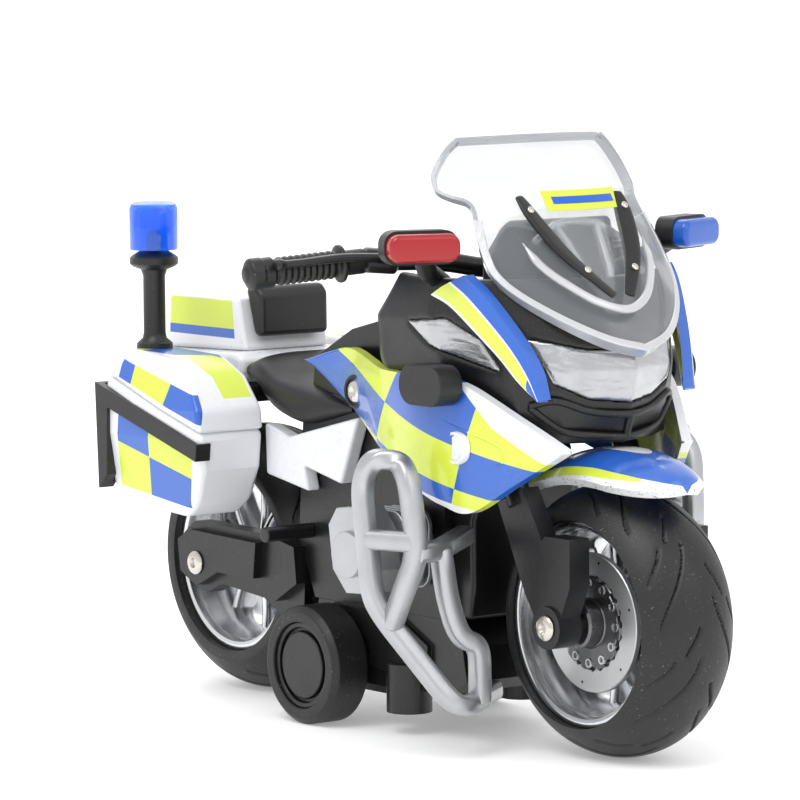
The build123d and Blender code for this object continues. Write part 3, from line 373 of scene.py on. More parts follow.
def moulded_over(name: str, nodes: Sequence[str], voxel: float, passes: int) -> bpy.types.Object:
    """Frame nodes joined into one smooth casting: cut into small cubes, skinned again and relaxed.

    Args:
        name: The piece's name.
        nodes: The frame nodes to join.
        voxel: Size of the small cubes, in millimetres.
        passes: How many times the skin is relaxed.

    Returns:
        The new object.
    """
    work = bmesh.new()
    for node in nodes:
        work.from_mesh(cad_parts[node].data)
    bmesh.ops.remove_doubles(work, verts=work.verts, dist=2e-6)
    mesh = bpy.data.meshes.new(name)
    work.to_mesh(mesh)
    work.free()
    piece = bpy.data.objects.new(name, mesh)
    bpy.context.scene.collection.objects.link(piece)
    skin = piece.modifiers.new("skin", "REMESH")
    skin.mode = "VOXEL"
    skin.voxel_size = voxel * MM
    relax = piece.modifiers.new("relax", "SMOOTH")
    relax.factor = 0.5
    relax.iterations = passes
    evaluated = piece.evaluated_get(bpy.context.evaluated_depsgraph_get())
    smooth = bpy.data.meshes.new_from_object(evaluated)
    piece.modifiers.clear()
    piece.data = smooth
    piece.data.shade_smooth()
    return piece


# ---- shader graphs ---------------------------------------------------------------------------------------
class Graph:
    """A node tree with short ways to add nodes and join their sockets."""

    def __init__(self, tree: bpy.types.NodeTree) -> None:
        """Keeps the tree that nodes go into."""
        self.tree = tree

    def feed(self, socket: bpy.types.NodeSocket, value: object) -> None:
        """Links a socket to another one, or sets its value."""
        if isinstance(value, bpy.types.NodeSocket):
            self.tree.links.new(value, socket)
        elif socket.type == "RGBA":
            socket.default_value = (*value[:3], 1.0)
        else:
            socket.default_value = value

    def node(self, kind: str, settings: dict[str, object] | None = None, **inputs: object) -> bpy.types.Node:
        """Adds a node, sets its properties and feeds its named inputs."""
        made = self.tree.nodes.new(kind)
        for key, value in (settings or {}).items():
            setattr(made, key, value)
        for key, value in inputs.items():
            self.feed(made.inputs[key.replace("_", " ")], value)
        return made

    def math(self, operation: str, *values: object, clamp: bool = False) -> bpy.types.NodeSocket:
        """The result of a math node on up to three numbers or sockets."""
        made = self.tree.nodes.new("ShaderNodeMath")
        made.operation = operation
        made.use_clamp = clamp
        for socket, value in zip(made.inputs, values):
            self.feed(socket, value)
        return made.outputs[0]

    def blend(self, share: object, first: object, second: object) -> bpy.types.NodeSocket:
        """A colour that goes from first to second as share goes from 0 to 1."""
        made = self.tree.nodes.new("ShaderNodeMix")
        made.data_type = "RGBA"
        self.feed(made.inputs[0], share)
        self.feed(made.inputs[6], first)
        self.feed(made.inputs[7], second)
        return made.outputs[2]

    def effect(self, group: bpy.types.NodeTree, **inputs: object) -> bpy.types.Node:
        """Places a node group and feeds its named inputs."""
        made = self.tree.nodes.new("ShaderNodeGroup")
        made.node_tree = group
        for key, value in inputs.items():
            self.feed(made.inputs[key], value)
        return made

    def place(self) -> bpy.types.NodeSocket:
        """The shaded point in the piece's own frame, in millimetres."""
        coordinates = self.node("ShaderNodeTexCoord")
        scaled = self.node("ShaderNodeVectorMath", {"operation": "SCALE"}, Scale=1 / MM)
        self.feed(scaled.inputs[0], coordinates.outputs["Object"])
        return scaled.outputs[0]


def new_group(name: str, inputs: dict[str, str], outputs: Sequence[str],
              ) -> tuple[Graph, bpy.types.Node, bpy.types.Node]:
    """Makes an empty shader group.

    Args:
        name: The group's name.
        inputs: The kind of each input socket, by name.
        outputs: Names of the outputs, which are all numbers.

    Returns:
        Its graph, its input node and its output node.
    """
    tree = bpy.data.node_groups.new(name, "ShaderNodeTree")
    for key, kind in inputs.items():
        tree.interface.new_socket(name=key, in_out="INPUT", socket_type=f"NodeSocket{kind}")
    for key in outputs:
        tree.interface.new_socket(name=key, in_out="OUTPUT", socket_type="NodeSocketFloat")
    return Graph(tree), tree.nodes.new("NodeGroupInput"), tree.nodes.new("NodeGroupOutput")


class Effects:
    """The effects that several finishes share, each built once as a node group."""

    def __init__(self) -> None:
        """Builds every group."""
        self.grain = self._grain()
        self.dust = self._dust()
        self.half_plane = self._half_plane()

    def _grain(self) -> bpy.types.NodeTree:
        """Fine relief and a slow wandering tone, both between 0 and 1."""
        graph, given, result = new_group("surface grain", {"Vector": "Vector", "Scale": "Float"},
                                         ("Height", "Tone"))
        fine = graph.node("ShaderNodeTexNoise", Vector=given.outputs["Vector"], Scale=given.outputs["Scale"],
                          Detail=3.0, Roughness=0.6)
        slow = graph.node("ShaderNodeTexNoise", Vector=given.outputs["Vector"], Scale=0.35, Detail=4.0,
                          Roughness=0.65)
        graph.feed(result.inputs["Height"], fine.outputs["Fac"])
        graph.feed(result.inputs["Tone"], slow.outputs["Fac"])
        return graph.tree

    def _dust(self) -> bpy.types.NodeTree:
        """Small pale flecks: bright peaks of a fine noise, thinned out by a coarse one."""
        graph, given, result = new_group("settled dust", {"Vector": "Vector", "Amount": "Float"}, ("Mask",))
        flecks = graph.node("ShaderNodeTexNoise", Vector=given.outputs["Vector"], Scale=4.5, Detail=2.0)
        patches = graph.node("ShaderNodeTexNoise", Vector=given.outputs["Vector"], Scale=0.5, Detail=1.0)
        peak = graph.math("MULTIPLY", graph.math("SUBTRACT", flecks.outputs["Fac"], 0.66), 16.0, clamp=True)
        where = graph.math("MULTIPLY", graph.math("SUBTRACT", patches.outputs["Fac"], 0.4), 4.0, clamp=True)
        mask = graph.math("MULTIPLY", graph.math("MULTIPLY", peak, where), given.outputs["Amount"])
        graph.feed(result.inputs["Mask"], mask)
        return graph.tree

    def _half_plane(self) -> bpy.types.NodeTree:
        """1 on the side of a plane that its normal points to, with a narrow soft border."""
        graph, given, result = new_group("half plane", {"Vector": "Vector", "Normal": "Vector",
                                                        "Offset": "Float"}, ("Mask",))
        across = graph.node("ShaderNodeVectorMath", {"operation": "DOT_PRODUCT"})
        graph.feed(across.inputs[0], given.outputs["Vector"])
        graph.feed(across.inputs[1], given.outputs["Normal"])
        distance = graph.math("SUBTRACT", across.outputs["Value"], given.outputs["Offset"])
        graph.feed(result.inputs["Mask"], graph.math("MULTIPLY_ADD", distance, 25.0, 0.5, clamp=True))
        return graph.tree


EFFECTS = Effects()


class View(Enum):
    """The plane that a pattern's lines are drawn in, as the two axes it shows."""

    SIDE = (0, 2)
    TOP = (0, 1)
    FRONT = (1, 2)


def above(graph: Graph, place: bpy.types.NodeSocket, start: Pair, end: Pair, view: View = View.SIDE,
          ) -> bpy.types.NodeSocket:
    """A mask of what lies to the left of the line from start to end, in a view along one axis."""
    along = np.subtract(end, start) / np.linalg.norm(np.subtract(end, start))
    normal = np.zeros(3)
    normal[list(view.value)] = (-along[1], along[0])
    offset = float(normal[list(view.value)] @ np.asarray(start))
    return graph.effect(EFFECTS.half_plane, Vector=place, Normal=tuple(normal), Offset=offset).outputs["Mask"]


def all_of(graph: Graph, *masks: bpy.types.NodeSocket) -> bpy.types.NodeSocket:
    """What lies inside every one of the masks."""
    result = masks[0]
    for mask in masks[1:]:
        result = graph.math("MULTIPLY", result, mask)
    return result


def none_of(graph: Graph, mask: bpy.types.NodeSocket) -> bpy.types.NodeSocket:
    """What lies outside a mask."""
    return graph.math("SUBTRACT", 1.0, mask)


def only_one(graph: Graph, first: bpy.types.NodeSocket, second: bpy.types.NodeSocket) -> bpy.types.NodeSocket:
    """What lies in just one of two masks, which makes a check of two stripes."""
    return graph.math("ABSOLUTE", graph.math("SUBTRACT", first, second))


def mirrored(graph: Graph, place: bpy.types.NodeSocket) -> bpy.types.NodeSocket:
    """The place with its Y made positive, so that both sides get the same pattern."""
    made = graph.node("ShaderNodeVectorMath", {"operation": "ABSOLUTE"})
    parts = graph.node("ShaderNodeSeparateXYZ", Vector=place)
    graph.feed(made.inputs[0], place)
    folded = graph.node("ShaderNodeSeparateXYZ", Vector=made.outputs[0])
    return graph.node("ShaderNodeCombineXYZ", X=parts.outputs["X"], Y=folded.outputs["Y"],
                      Z=parts.outputs["Z"]).outputs[0]


# ---- finishes ------------------------------------------------------------------------------------------
WHITE: Colour = (0.80, 0.81, 0.84)
SIGNAL_YELLOW: Colour = (0.66, 0.78, 0.06)
SIGNAL_BLUE: Colour = (0.012, 0.11, 0.52)
DUST: Colour = (0.45, 0.42, 0.37)


@dataclass(frozen=True)
class Moulded:
    """A moulded, cast or painted finish. Subclasses give it a pattern by overriding paint."""

    name: str
    slot: str
    colour: Colour
    roughness: float = 0.4
    metallic: float = 0.0
    coat: float = 0.0
    grain: float = 5.0  # grains per millimetre
    relief: float = 0.01  # height of the grain in millimetres
    wander: float = 0.15  # how far the tone darkens in places
    dust: float = 0.0
    clear: float = 0.0  # share of light let through
    alpha: float = 1.0
    glow: float = 0.0

    def paint(self, graph: Graph, place: bpy.types.NodeSocket) -> object:
        """The colour at a place, before tone and dust."""
        return self.colour

    def relief_height(self, graph: Graph, place: bpy.types.NodeSocket, height: bpy.types.NodeSocket,
                      ) -> bpy.types.NodeSocket:
        """The height of the surface's fine relief at a place."""
        return height

    def material(self) -> bpy.types.Material:
        """The finish as a material, made once."""
        made = bpy.data.materials.get(self.name)
        if made:
            return made
        made = bpy.data.materials.new(self.name)
        made.use_nodes = True
        graph = Graph(made.node_tree)
        shader = made.node_tree.nodes["Principled BSDF"]
        place = graph.place()
        grain = graph.effect(EFFECTS.grain, Vector=place, Scale=self.grain)
        tone = grain.outputs["Tone"]
        colour = graph.blend(graph.math("MULTIPLY", tone, self.wander), self.paint(graph, place),
                             tuple(0.25 * part for part in self.colour))
        if self.dust:
            fleck = graph.effect(EFFECTS.dust, Vector=place, Amount=self.dust)
            colour = graph.blend(fleck.outputs["Mask"], colour, DUST)
        graph.feed(shader.inputs["Base Color"], colour)
        graph.feed(shader.inputs["Roughness"], graph.math("MULTIPLY_ADD", tone, 0.5 * self.roughness,
                                                          0.75 * self.roughness))
        bump = graph.node("ShaderNodeBump", Strength=1.0, Distance=self.relief * MM,
                          Height=self.relief_height(graph, place, grain.outputs["Height"]))
        graph.feed(shader.inputs["Normal"], bump.outputs["Normal"])
        shader.inputs["Metallic"].default_value = self.metallic
        shader.inputs["Coat Weight"].default_value = self.coat
        shader.inputs["Coat Roughness"].default_value = 0.06
        shader.inputs["Transmission Weight"].default_value = self.clear
        shader.inputs["Alpha"].default_value = self.alpha
        if self.clear:
            shader.inputs["IOR"].default_value = 1.46
        if self.glow:
            shader.inputs["Emission Color"].default_value = (*self.colour, 1.0)
            shader.inputs["Emission Strength"].default_value = self.glow
        return made


@dataclass(frozen=True)
class Wrinkled(Moulded):
    """Foil-like plating seen through a clear lens: stretched folds over fine grain."""

    fold: float = 0.8  # folds per millimetre

    def relief_height(self, graph: Graph, place: bpy.types.NodeSocket, height: bpy.types.NodeSocket,
                      ) -> bpy.types.NodeSocket:
        """Adds a warped, stretched noise to the grain."""
        stretched = graph.node("ShaderNodeVectorMath", {"operation": "MULTIPLY"})
        graph.feed(stretched.inputs[0], place)
        graph.feed(stretched.inputs[1], (0.6, 0.5, 1.8))
        folds = graph.node("ShaderNodeTexNoise", Vector=stretched.outputs[0], Scale=self.fold, Detail=1.5,
                           Distortion=0.8)
        return graph.math("MULTIPLY_ADD", height, 0.1, folds.outputs["Fac"])


@dataclass(frozen=True)
class PanelPaint(Moulded):
    """The fairing side: a slanted check of yellow and blue under a white brow, with a white lower edge."""

    def paint(self, graph: Graph, place: bpy.types.NodeSocket) -> object:
        """Two row lines and two column lines make the check, and three more bound the white."""
        upper = above(graph, place, (-1.6, 34.4), (27.5, 25.7))
        lower = above(graph, place, (-3.6, 30.4), (23.7, 23.1))
        rear = above(graph, place, (11.65, 33.4), (7.7, 27.9))
        front = above(graph, place, (22.1, 31.0), (19.8, 22.9))
        middle_row = graph.math("SUBTRACT", lower, upper)
        middle_column = graph.math("SUBTRACT", rear, front)
        check = only_one(graph, middle_row, middle_column)
        colour = graph.blend(check, SIGNAL_YELLOW, SIGNAL_BLUE)
        brow = all_of(graph, above(graph, place, (19.9, 34.0), (23.6, 29.6)),
                      above(graph, place, (23.6, 29.6), (28.2, 26.2)))
        hem = none_of(graph, above(graph, place, (15.65, 23.7), (22.5, 22.05)))
        return graph.blend(graph.math("MAXIMUM", brow, hem), colour, WHITE)


@dataclass(frozen=True)
class CasePaint(Moulded):
    """The pannier case: two rows of two checks on the outer face, inside white margins."""

    def paint(self, graph: Graph, place: bpy.types.NodeSocket) -> object:
        """Lines in the side view, kept to the outer face by a line in the front view."""
        folded = mirrored(graph, place)
        row = above(graph, place, (-25.9, 24.9), (-13.9, 22.0))
        column = above(graph, place, (-20.5, 27.2), (-21.6, 20.0))
        check = only_one(graph, row, column)
        inside = all_of(graph, above(graph, place, (-15.4, 19.5), (-13.7, 25.0)),
                        above(graph, place, (-25.5, 28.0), (-26.3, 21.0)),
                        above(graph, place, (-26.3, 20.6), (-15.4, 19.3)),
                        none_of(graph, above(graph, place, (-25.9, 27.7), (-13.4, 24.2))),
                        none_of(graph, above(graph, folded, (14.9, 15.0), (15.1, 35.0), View.FRONT)))
        return graph.blend(inside, WHITE, graph.blend(check, SIGNAL_YELLOW, SIGNAL_BLUE))


@dataclass(frozen=True)
class LidPaint(Moulded):
    """The pannier lid: three patches on its outer face and three on top, inside white margins."""

    def paint(self, graph: Graph, place: bpy.types.NodeSocket) -> object:
        """Side patches by lines in the side view, and top patches by lines in the top view."""
        folded = mirrored(graph, place)
        middle = all_of(graph, none_of(graph, above(graph, place, (-24.4, 28.0), (-24.0, 34.0))),
                        above(graph, place, (-18.6, 28.0), (-17.0, 34.0)))
        side = all_of(graph, above(graph, place, (-28.0, 31.3), (-12.5, 27.3)),
                      none_of(graph, above(graph, place, (-26.6, 28.0), (-26.2, 34.0))),
                      above(graph, folded, (14.7, 33.2), (16.2, 27.0), View.FRONT))
        side = graph.math("MULTIPLY", side, none_of(graph, above(graph, place, (-28.0, 32.9), (-11.0, 29.4))))
        top_middle = all_of(graph, none_of(graph, above(graph, folded, (-25.6, 8.0), (-25.6, 17.0), View.TOP)),
                            above(graph, folded, (-17.8, 9.0), (-20.8, 13.4), View.TOP))
        top = all_of(graph, above(graph, folded, (-30.0, 9.6), (-10.0, 9.6), View.TOP),
                     none_of(graph, above(graph, folded, (-30.0, 14.0), (-10.0, 12.6), View.TOP)),
                     none_of(graph, above(graph, folded, (-27.6, 8.0), (-27.4, 17.0), View.TOP)),
                     above(graph, folded, (-13.6, 8.0), (-13.6, 17.0), View.TOP))
        side_colour = graph.blend(middle, SIGNAL_BLUE, SIGNAL_YELLOW)
        top_colour = graph.blend(top_middle, SIGNAL_YELLOW, SIGNAL_BLUE)
        return graph.blend(top, graph.blend(side, WHITE, side_colour), top_colour)


@dataclass(frozen=True)
class RadioPaint(Moulded):
    """The radio box: a yellow band over a blue stripe on its sides."""

    def paint(self, graph: Graph, place: bpy.types.NodeSocket) -> object:
        """Level lines in the side view."""
        folded = mirrored(graph, place)
        band = all_of(graph, above(graph, place, (-40.0, 34.1), (0.0, 34.1)),
                      none_of(graph, above(graph, place, (-40.0, 37.6), (0.0, 37.8))),
                      none_of(graph, above(graph, place, (-33.4, 30.0), (-33.0, 40.0))),
                      above(graph, place, (-22.2, 30.0), (-23.2, 40.0)),
                      none_of(graph, above(graph, folded, (4.75, 30.0), (4.75, 40.0), View.FRONT)))
        stripe = none_of(graph, above(graph, place, (-40.0, 35.0), (0.0, 35.0)))
        return graph.blend(band, WHITE, graph.blend(stripe, SIGNAL_YELLOW, SIGNAL_BLUE))


@dataclass(frozen=True)
class SurfacePaint(Moulded):
    """Paint whose pattern follows the piece's own surface map: x along it and y across it."""

    def surface(self, graph: Graph) -> bpy.types.NodeSocket:
        """The piece's own map as a vector, with x along and y across."""
        return graph.node("ShaderNodeUVMap", {"uv_map": "surface"}).outputs["UV"]


@dataclass(frozen=True)
class BladePaint(SurfacePaint):
    """A nose blade: yellow with a blue front stripe and tip, and a thin white border."""

    def paint(self, graph: Graph, place: bpy.types.NodeSocket) -> object:
        """Lines across the piece's own map."""
        spot = self.surface(graph)
        parts = graph.node("ShaderNodeSeparateXYZ", Vector=spot)
        along, across = parts.outputs["X"], parts.outputs["Y"]
        front = graph.math("GREATER_THAN", across, 0.66)
        tip = graph.math("GREATER_THAN", graph.math("MULTIPLY_ADD", across, 0.12, along), 0.9)
        blue = graph.math("MAXIMUM", front, tip)
        edge = graph.math("MAXIMUM", graph.math("LESS_THAN", across, 0.1),
                          graph.math("COMPARE", across, 0.66, 0.03))
        return graph.blend(edge, graph.blend(blue, SIGNAL_YELLOW, SIGNAL_BLUE), WHITE)


@dataclass(frozen=True)
class FenderPaint(SurfacePaint):
    """The front fender: a blue back with a pale oval painted on its crown as a highlight, yellow flanks and a worn
    white hem.
    """

    def paint(self, graph: Graph, place: bpy.types.NodeSocket) -> object:
        """Bands across the map, an ellipse in the top view for the painted highlight, and chips in the hem."""
        parts = graph.node("ShaderNodeSeparateXYZ", Vector=self.surface(graph))
        along = parts.outputs["X"]
        off_middle = graph.math("ABSOLUTE", graph.math("MULTIPLY_ADD", parts.outputs["Y"], 2.0, -1.0))
        blue = graph.math("LESS_THAN", off_middle, graph.math("MULTIPLY_ADD", along, -0.12, 0.66))
        flank = graph.math("MULTIPLY", graph.math("LESS_THAN", off_middle, graph.math(
            "MULTIPLY_ADD", along, -0.45, 0.98)), graph.math("LESS_THAN", along, 0.72))
        colour = graph.blend(flank, WHITE, SIGNAL_YELLOW)
        colour = graph.blend(blue, colour, SIGNAL_BLUE)
        # A pale oval along the fender's crown: a painted highlight, not a mark in the paint.
        spots = graph.node("ShaderNodeSeparateXYZ", Vector=place)
        ahead = graph.math("DIVIDE", graph.math("SUBTRACT", spots.outputs["X"], 28.6), 3.4)
        aside = graph.math("DIVIDE", spots.outputs["Y"], 1.5)
        crown_highlight = graph.math("LESS_THAN", graph.math("ADD", graph.math("POWER", graph.math("ABSOLUTE", ahead), 2.0),
                                                  graph.math("POWER", graph.math("ABSOLUTE", aside), 2.0)), 1.0)
        colour = graph.blend(crown_highlight, colour, WHITE)
        chips = graph.node("ShaderNodeTexNoise", Vector=place, Scale=3.4, Detail=5.0, Roughness=0.75)
        hem = graph.math("GREATER_THAN", off_middle, 0.8)
        worn = graph.math("MULTIPLY", graph.math("GREATER_THAN", chips.outputs["Fac"], 0.6), hem)
        return graph.blend(worn, colour, (0.12, 0.12, 0.13))


TYRE = Moulded("tyre rubber", "tyre_rubber", (0.008, 0.008, 0.009), 0.46, grain=3.0, relief=0.02, dust=0.35)
CHROME = Moulded("plated rim", "rim_silver", (0.72, 0.73, 0.75), 0.22, 1.0, grain=2.5, relief=0.006)
GUNMETAL = Moulded("dark plating", "rim_silver", (0.20, 0.20, 0.21), 0.26, 0.9, grain=1.2, relief=0.02, wander=0.5)
SATIN_DISC = Moulded("satin disc", "rim_silver", (0.62, 0.63, 0.64), 0.36, 0.9, grain=9.0, relief=0.008)
STEEL = Moulded("bright pin", "steel", (0.66, 0.63, 0.58), 0.2, 1.0, grain=3.0, relief=0.01)
SATIN_BLACK = Moulded("satin black", "frame_black", (0.006, 0.006, 0.007), 0.32, grain=2.2, relief=0.02, dust=0.12)
COWL_BLACK = Moulded("grained black", "black_plastic", (0.007, 0.007, 0.008), 0.4, grain=7.0, relief=0.02, dust=0.15)
GRIP_BLACK = Moulded("grip rubber", "grip_rubber", (0.008, 0.008, 0.009), 0.42, grain=6.0, relief=0.015, dust=0.2)
SEAT_BLACK = Moulded("seat vinyl", "seat_vinyl", (0.011, 0.010, 0.010), 0.42, grain=7.0, relief=0.02, dust=0.1)
SILVER = Moulded("silver paint", "silver_paint", (0.50, 0.51, 0.53), 0.34, 0.85, coat=0.3, grain=8.0, relief=0.02,
                 wander=0.3)
GLOSS_WHITE = Moulded("gloss white", "white_plastic", WHITE, 0.28, coat=0.3, grain=1.5, relief=0.004, wander=0.06)
PANEL_PAINT = PanelPaint("checked fairing", "fairing_paint", WHITE, 0.26, coat=0.7, grain=1.0, relief=0.01,
                         wander=0.08)
FENDER_PAINT = FenderPaint("fender paint", "fairing_paint", WHITE, 0.24, coat=0.8, grain=2.0, relief=0.012,
                           wander=0.08)
BLADE_PAINT = BladePaint("blade paint", "fairing_paint", WHITE, 0.24, coat=0.8, grain=1.0, relief=0.006, wander=0.06)
CASE_PAINT = CasePaint("checked case", "white_plastic", WHITE, 0.3, coat=0.4, grain=1.5, relief=0.006, wander=0.06)
LID_PAINT = LidPaint("checked lid", "white_plastic", WHITE, 0.3, coat=0.4, grain=1.5, relief=0.006, wander=0.06)
RADIO_PAINT = RadioPaint("banded box", "white_plastic", WHITE, 0.3, coat=0.4, grain=1.5, relief=0.006, wander=0.06)
LABEL_PAINT = Moulded("label yellow", "fairing_paint", SIGNAL_YELLOW, 0.35, grain=2.0, relief=0.003)
LABEL_INK = Moulded("label blue", "fairing_paint", SIGNAL_BLUE, 0.35, grain=2.0, relief=0.003)
CLEAR = Moulded("clear screen", "clear_plastic", (0.52, 0.55, 0.59), 0.03, grain=0.8, relief=0.002, wander=0.02,
                clear=0.55, alpha=0.3)
CLEAR_EDGE = Moulded("clear edge in shade", "clear_plastic", (0.42, 0.43, 0.46), 0.12, grain=1.5, relief=0.004,
                     wander=0.1, coat=0.6, alpha=0.7)
# Thick clear plastic painted pale and nearly opaque, with a metallic sheen: a painted highlight for the light that
# thick clear edges and ribs catch.
PAINTED_BRIGHT_CLEAR = Moulded("thick clear edge", "clear_plastic", (0.70, 0.71, 0.74), 0.16, 0.35, coat=1.0, grain=1.2,
                  relief=0.03, wander=0.35, alpha=0.92)
LENS = Wrinkled("lens over foil", "clear_plastic", (0.52, 0.53, 0.55), 0.2, 0.7, coat=1.0, relief=0.3, wander=0.5,
                fold=0.35)
RED_LENS = Moulded("red lens", "red_lens", (0.36, 0.003, 0.006), 0.22, coat=0.25, grain=1.5, relief=0.02, clear=0.0)
BLUE_LENS = Moulded("blue lens", "blue_lens", (0.01, 0.1, 0.5), 0.22, coat=0.25, grain=1.5, relief=0.02)
# The dome's slight glow is painted light: it is plain blue plastic with no lit lamp inside.
BEACON_BLUE = Moulded("beacon blue", "beacon_blue", (0.015, 0.2, 0.9), 0.1, coat=0.5, grain=1.0, relief=0.01,
                      clear=0.8, alpha=0.9, glow=0.12)
BULB_DARK = Moulded("bulb", "bulb_dark", (0.05, 0.02, 0.16), 0.3, coat=0.5)
NYLON = Moulded("gear nylon", "gear_nylon", (0.74, 0.71, 0.62), 0.42, grain=3.0, relief=0.01)
MOTOR_CASE = Moulded("motor case", "motor_case", (0.05, 0.05, 0.055), 0.35, coat=0.3, grain=2.0, relief=0.01)


def fit(piece: bpy.types.Object, body: Body, finish: Moulded, *nodes: str) -> bpy.types.Object:
    """Gives a piece its finish and body, and says which frame nodes it stands for.

    Args:
        piece: The piece.
        body: The body that it rides on.
        finish: Its finish.
        nodes: Frame nodes that it stands for.

    Returns:
        The same piece.
    """
    piece.data.materials.clear()
    piece.data.materials.append(finish.material())
    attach(piece, body.value)
    if nodes:
        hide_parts(*nodes)
    log.info("%s rides on %s", piece.name, body.value)
    return piece


def dress_node(node: str, finish: Moulded) -> None:
    """Gives a frame node that stays as it is a better material."""
    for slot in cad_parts[node].material_slots:
        slot.material = finish.material()
    log.info("%s keeps its own shape", node)


# ---- sub-assemblies --------------------------------------------------------------------------------------
@dataclass
class RoadWheel:
    """A road wheel: grooved tyre, plated rim, spokes, hub and axle pin."""

    name: str
    body: Body
    centre: Triple
    tyre_radius: float
    rim_radius: float
    axle_half: float
    has_discs: bool
    tyre_half: float = 5.2
    crown_drop: float = 3.0
    rim_half: float = 4.4
    groove_depth: float = 0.34
    groove_half: float = 0.17
    repeats: int = 7
    spokes: int = 5
    hub_radius: float = 2.3

    def tread_depth(self, angle: np.ndarray, across: np.ndarray) -> np.ndarray:
        """How deep the tread is cut at each place.

        Each side has long S-shaped grooves, whose distance from the middle falls along the rolling
        direction by a smooth step, and short slashes between them. The left side is half a repeat later.

        Args:
            angle: Angle round the axle.
            across: Distance from the middle plane, positive to the left.

        Returns:
            Depth at each pair of angle and distance.
        """
        depth = np.zeros(np.broadcast_shapes(angle.shape, across.shape))
        for start, share, outer, inner in ((0.0, 0.86, 4.1, 0.75), (0.55, 0.36, 4.4, 2.9), (0.2, 0.3, 2.1, 0.9)):
            turn = (angle * self.repeats / FULL_TURN + start + np.where(across > 0, 0.5, 0.0)) % 1.0
            t = turn / share
            middle = outer + (inner - outer) * (t * t * (3 - 2 * t))
            slope = (inner - outer) * 6 * t * (1 - t) * self.repeats / (FULL_TURN * share * self.tyre_radius)
            away = np.abs(np.abs(across) - middle) / np.sqrt(1 + slope ** 2)
            ends = np.clip(np.minimum(t, 1 - t) * 9, 0, 1) * (t < 1)
            cut = np.clip(1.4 * (1 - away / (self.groove_half * (0.5 + 0.5 * ends))), 0, 1) * ends
            depth = np.maximum(depth, cut * self.groove_depth)
        return depth

    def tyre(self) -> None:
        """The tyre: a crown that is an arc of a circle, cut by the tread, over a closed bead."""
        steps, columns = 640, 84
        radius = (self.tyre_half ** 2 + self.crown_drop ** 2) / (2 * self.crown_drop)
        lean = np.linspace(-1, 1, columns) * math.asin(self.tyre_half / radius)
        across = radius * np.sin(lean)[None, :]
        angle = np.linspace(0, FULL_TURN, steps, endpoint=False)[:, None]
        depth = self.tread_depth(angle, across)
        out = self.tyre_radius - radius + (radius - depth) * np.cos(lean)[None, :]
        bead = np.array([[0.12, 0.1], [0.1, 0.5], [0.06, 1.3], [-0.6, 1.3]])
        left = np.stack([self.rim_radius + bead[:, 0], self.tyre_half - bead[:, 1]], axis=1)
        inner = np.concatenate([left, left[::-1] * (1, -1)])
        radii = np.concatenate([out, np.broadcast_to(inner[:, 0], (steps, len(inner)))], axis=1)
        sides = np.concatenate([across[0], inner[:, 1]])[None, :]
        points = np.stack([self.centre[0] + radii * np.cos(angle), sides + 0 * radii,
                           self.centre[2] + radii * np.sin(angle)], axis=2)
        piece = solid(f"{self.name}_tyre_grooved", points, grid_faces(steps, radii.shape[1], True, True),
                      sharp_degrees=55)
        fit(piece, self.body, TYRE, f"{self.name}_tyre")

    def rim(self) -> None:
        """The rim: a turned barrel with bright rolled lips, a darker well, twin spokes and a hub."""
        edge, half = self.rim_radius, self.rim_half
        seat = edge - 0.7
        for side in Side:
            lip = np.array([(seat, 3.5), (edge, 3.6), (edge + 0.02, half - 0.1), (edge - 0.1, half),
                            (seat + 0.2, half), (seat - 0.02, half - 0.12), (seat - 0.2, half - 0.6),
                            (seat - 0.24, 3.5)])
            ring = lathe(f"{self.name}_rim_lip_{side.name.lower()}", self.centre, lip * (1, side.value), 160)
            fit(ring, self.body, CHROME)
        well = np.array([(seat, -3.6), (seat, 3.6), (seat - 0.24, 3.6), (seat - 0.75, 2.4), (seat - 1.15, 1.3),
                         (seat - 1.25, 0.0), (seat - 1.15, -1.3), (seat - 0.75, -2.4), (seat - 0.24, -3.6)])
        fit(lathe(f"{self.name}_rim_well", self.centre, well, 160), self.body, CHROME, f"{self.name}_rim")
        hub = np.array([(0.85, -5.0), (1.9, -5.0), (2.1, -4.8), (2.1, -3.4), (self.hub_radius, -3.2),
                        (self.hub_radius, 3.2), (2.1, 3.4), (2.1, 4.8), (1.9, 5.0), (0.85, 5.0)])
        fit(lathe(f"{self.name}_hub", self.centre, hub, 96), self.body, GUNMETAL)
        for number in range(2 * self.spokes):
            turn = FULL_TURN * (number // 2) / self.spokes + (0.16 if number % 2 else -0.16)
            spread = np.linspace(-0.2, 0.18, 14) * (1 if number % 2 else -1) * 0.6
            reach = np.linspace(self.hub_radius - 0.5, seat - 0.95, 14)
            route = np.stack([self.centre[0] + reach * np.cos(turn + spread), 0 * reach,
                              self.centre[2] + reach * np.sin(turn + spread)], axis=1)
            fit(sweep(f"{self.name}_spoke_{number + 1:02d}", route, section(1.5, 0.5, 3.0, 20), (0, 1, 0),
                      np.linspace(1.1, 0.85, 14)), self.body, CHROME)

    def axle(self) -> None:
        """The axle pin, with a domed and dimpled rivet head at each end."""
        half = self.axle_half
        right = [(0.0, 0.05), (0.35, 0.05), (0.5, 0.3), (0.9, 0.28), (1.12, 0.12), (1.15, 0.0), (0.8, 0.0)]
        profile = np.array([(r, half + y) for r, y in right] + [(r, -half - y) for r, y in right[::-1]])
        fit(lathe(f"{self.name}_axle_pin", self.centre, profile, 64), self.body, STEEL, f"{self.name}_axle")

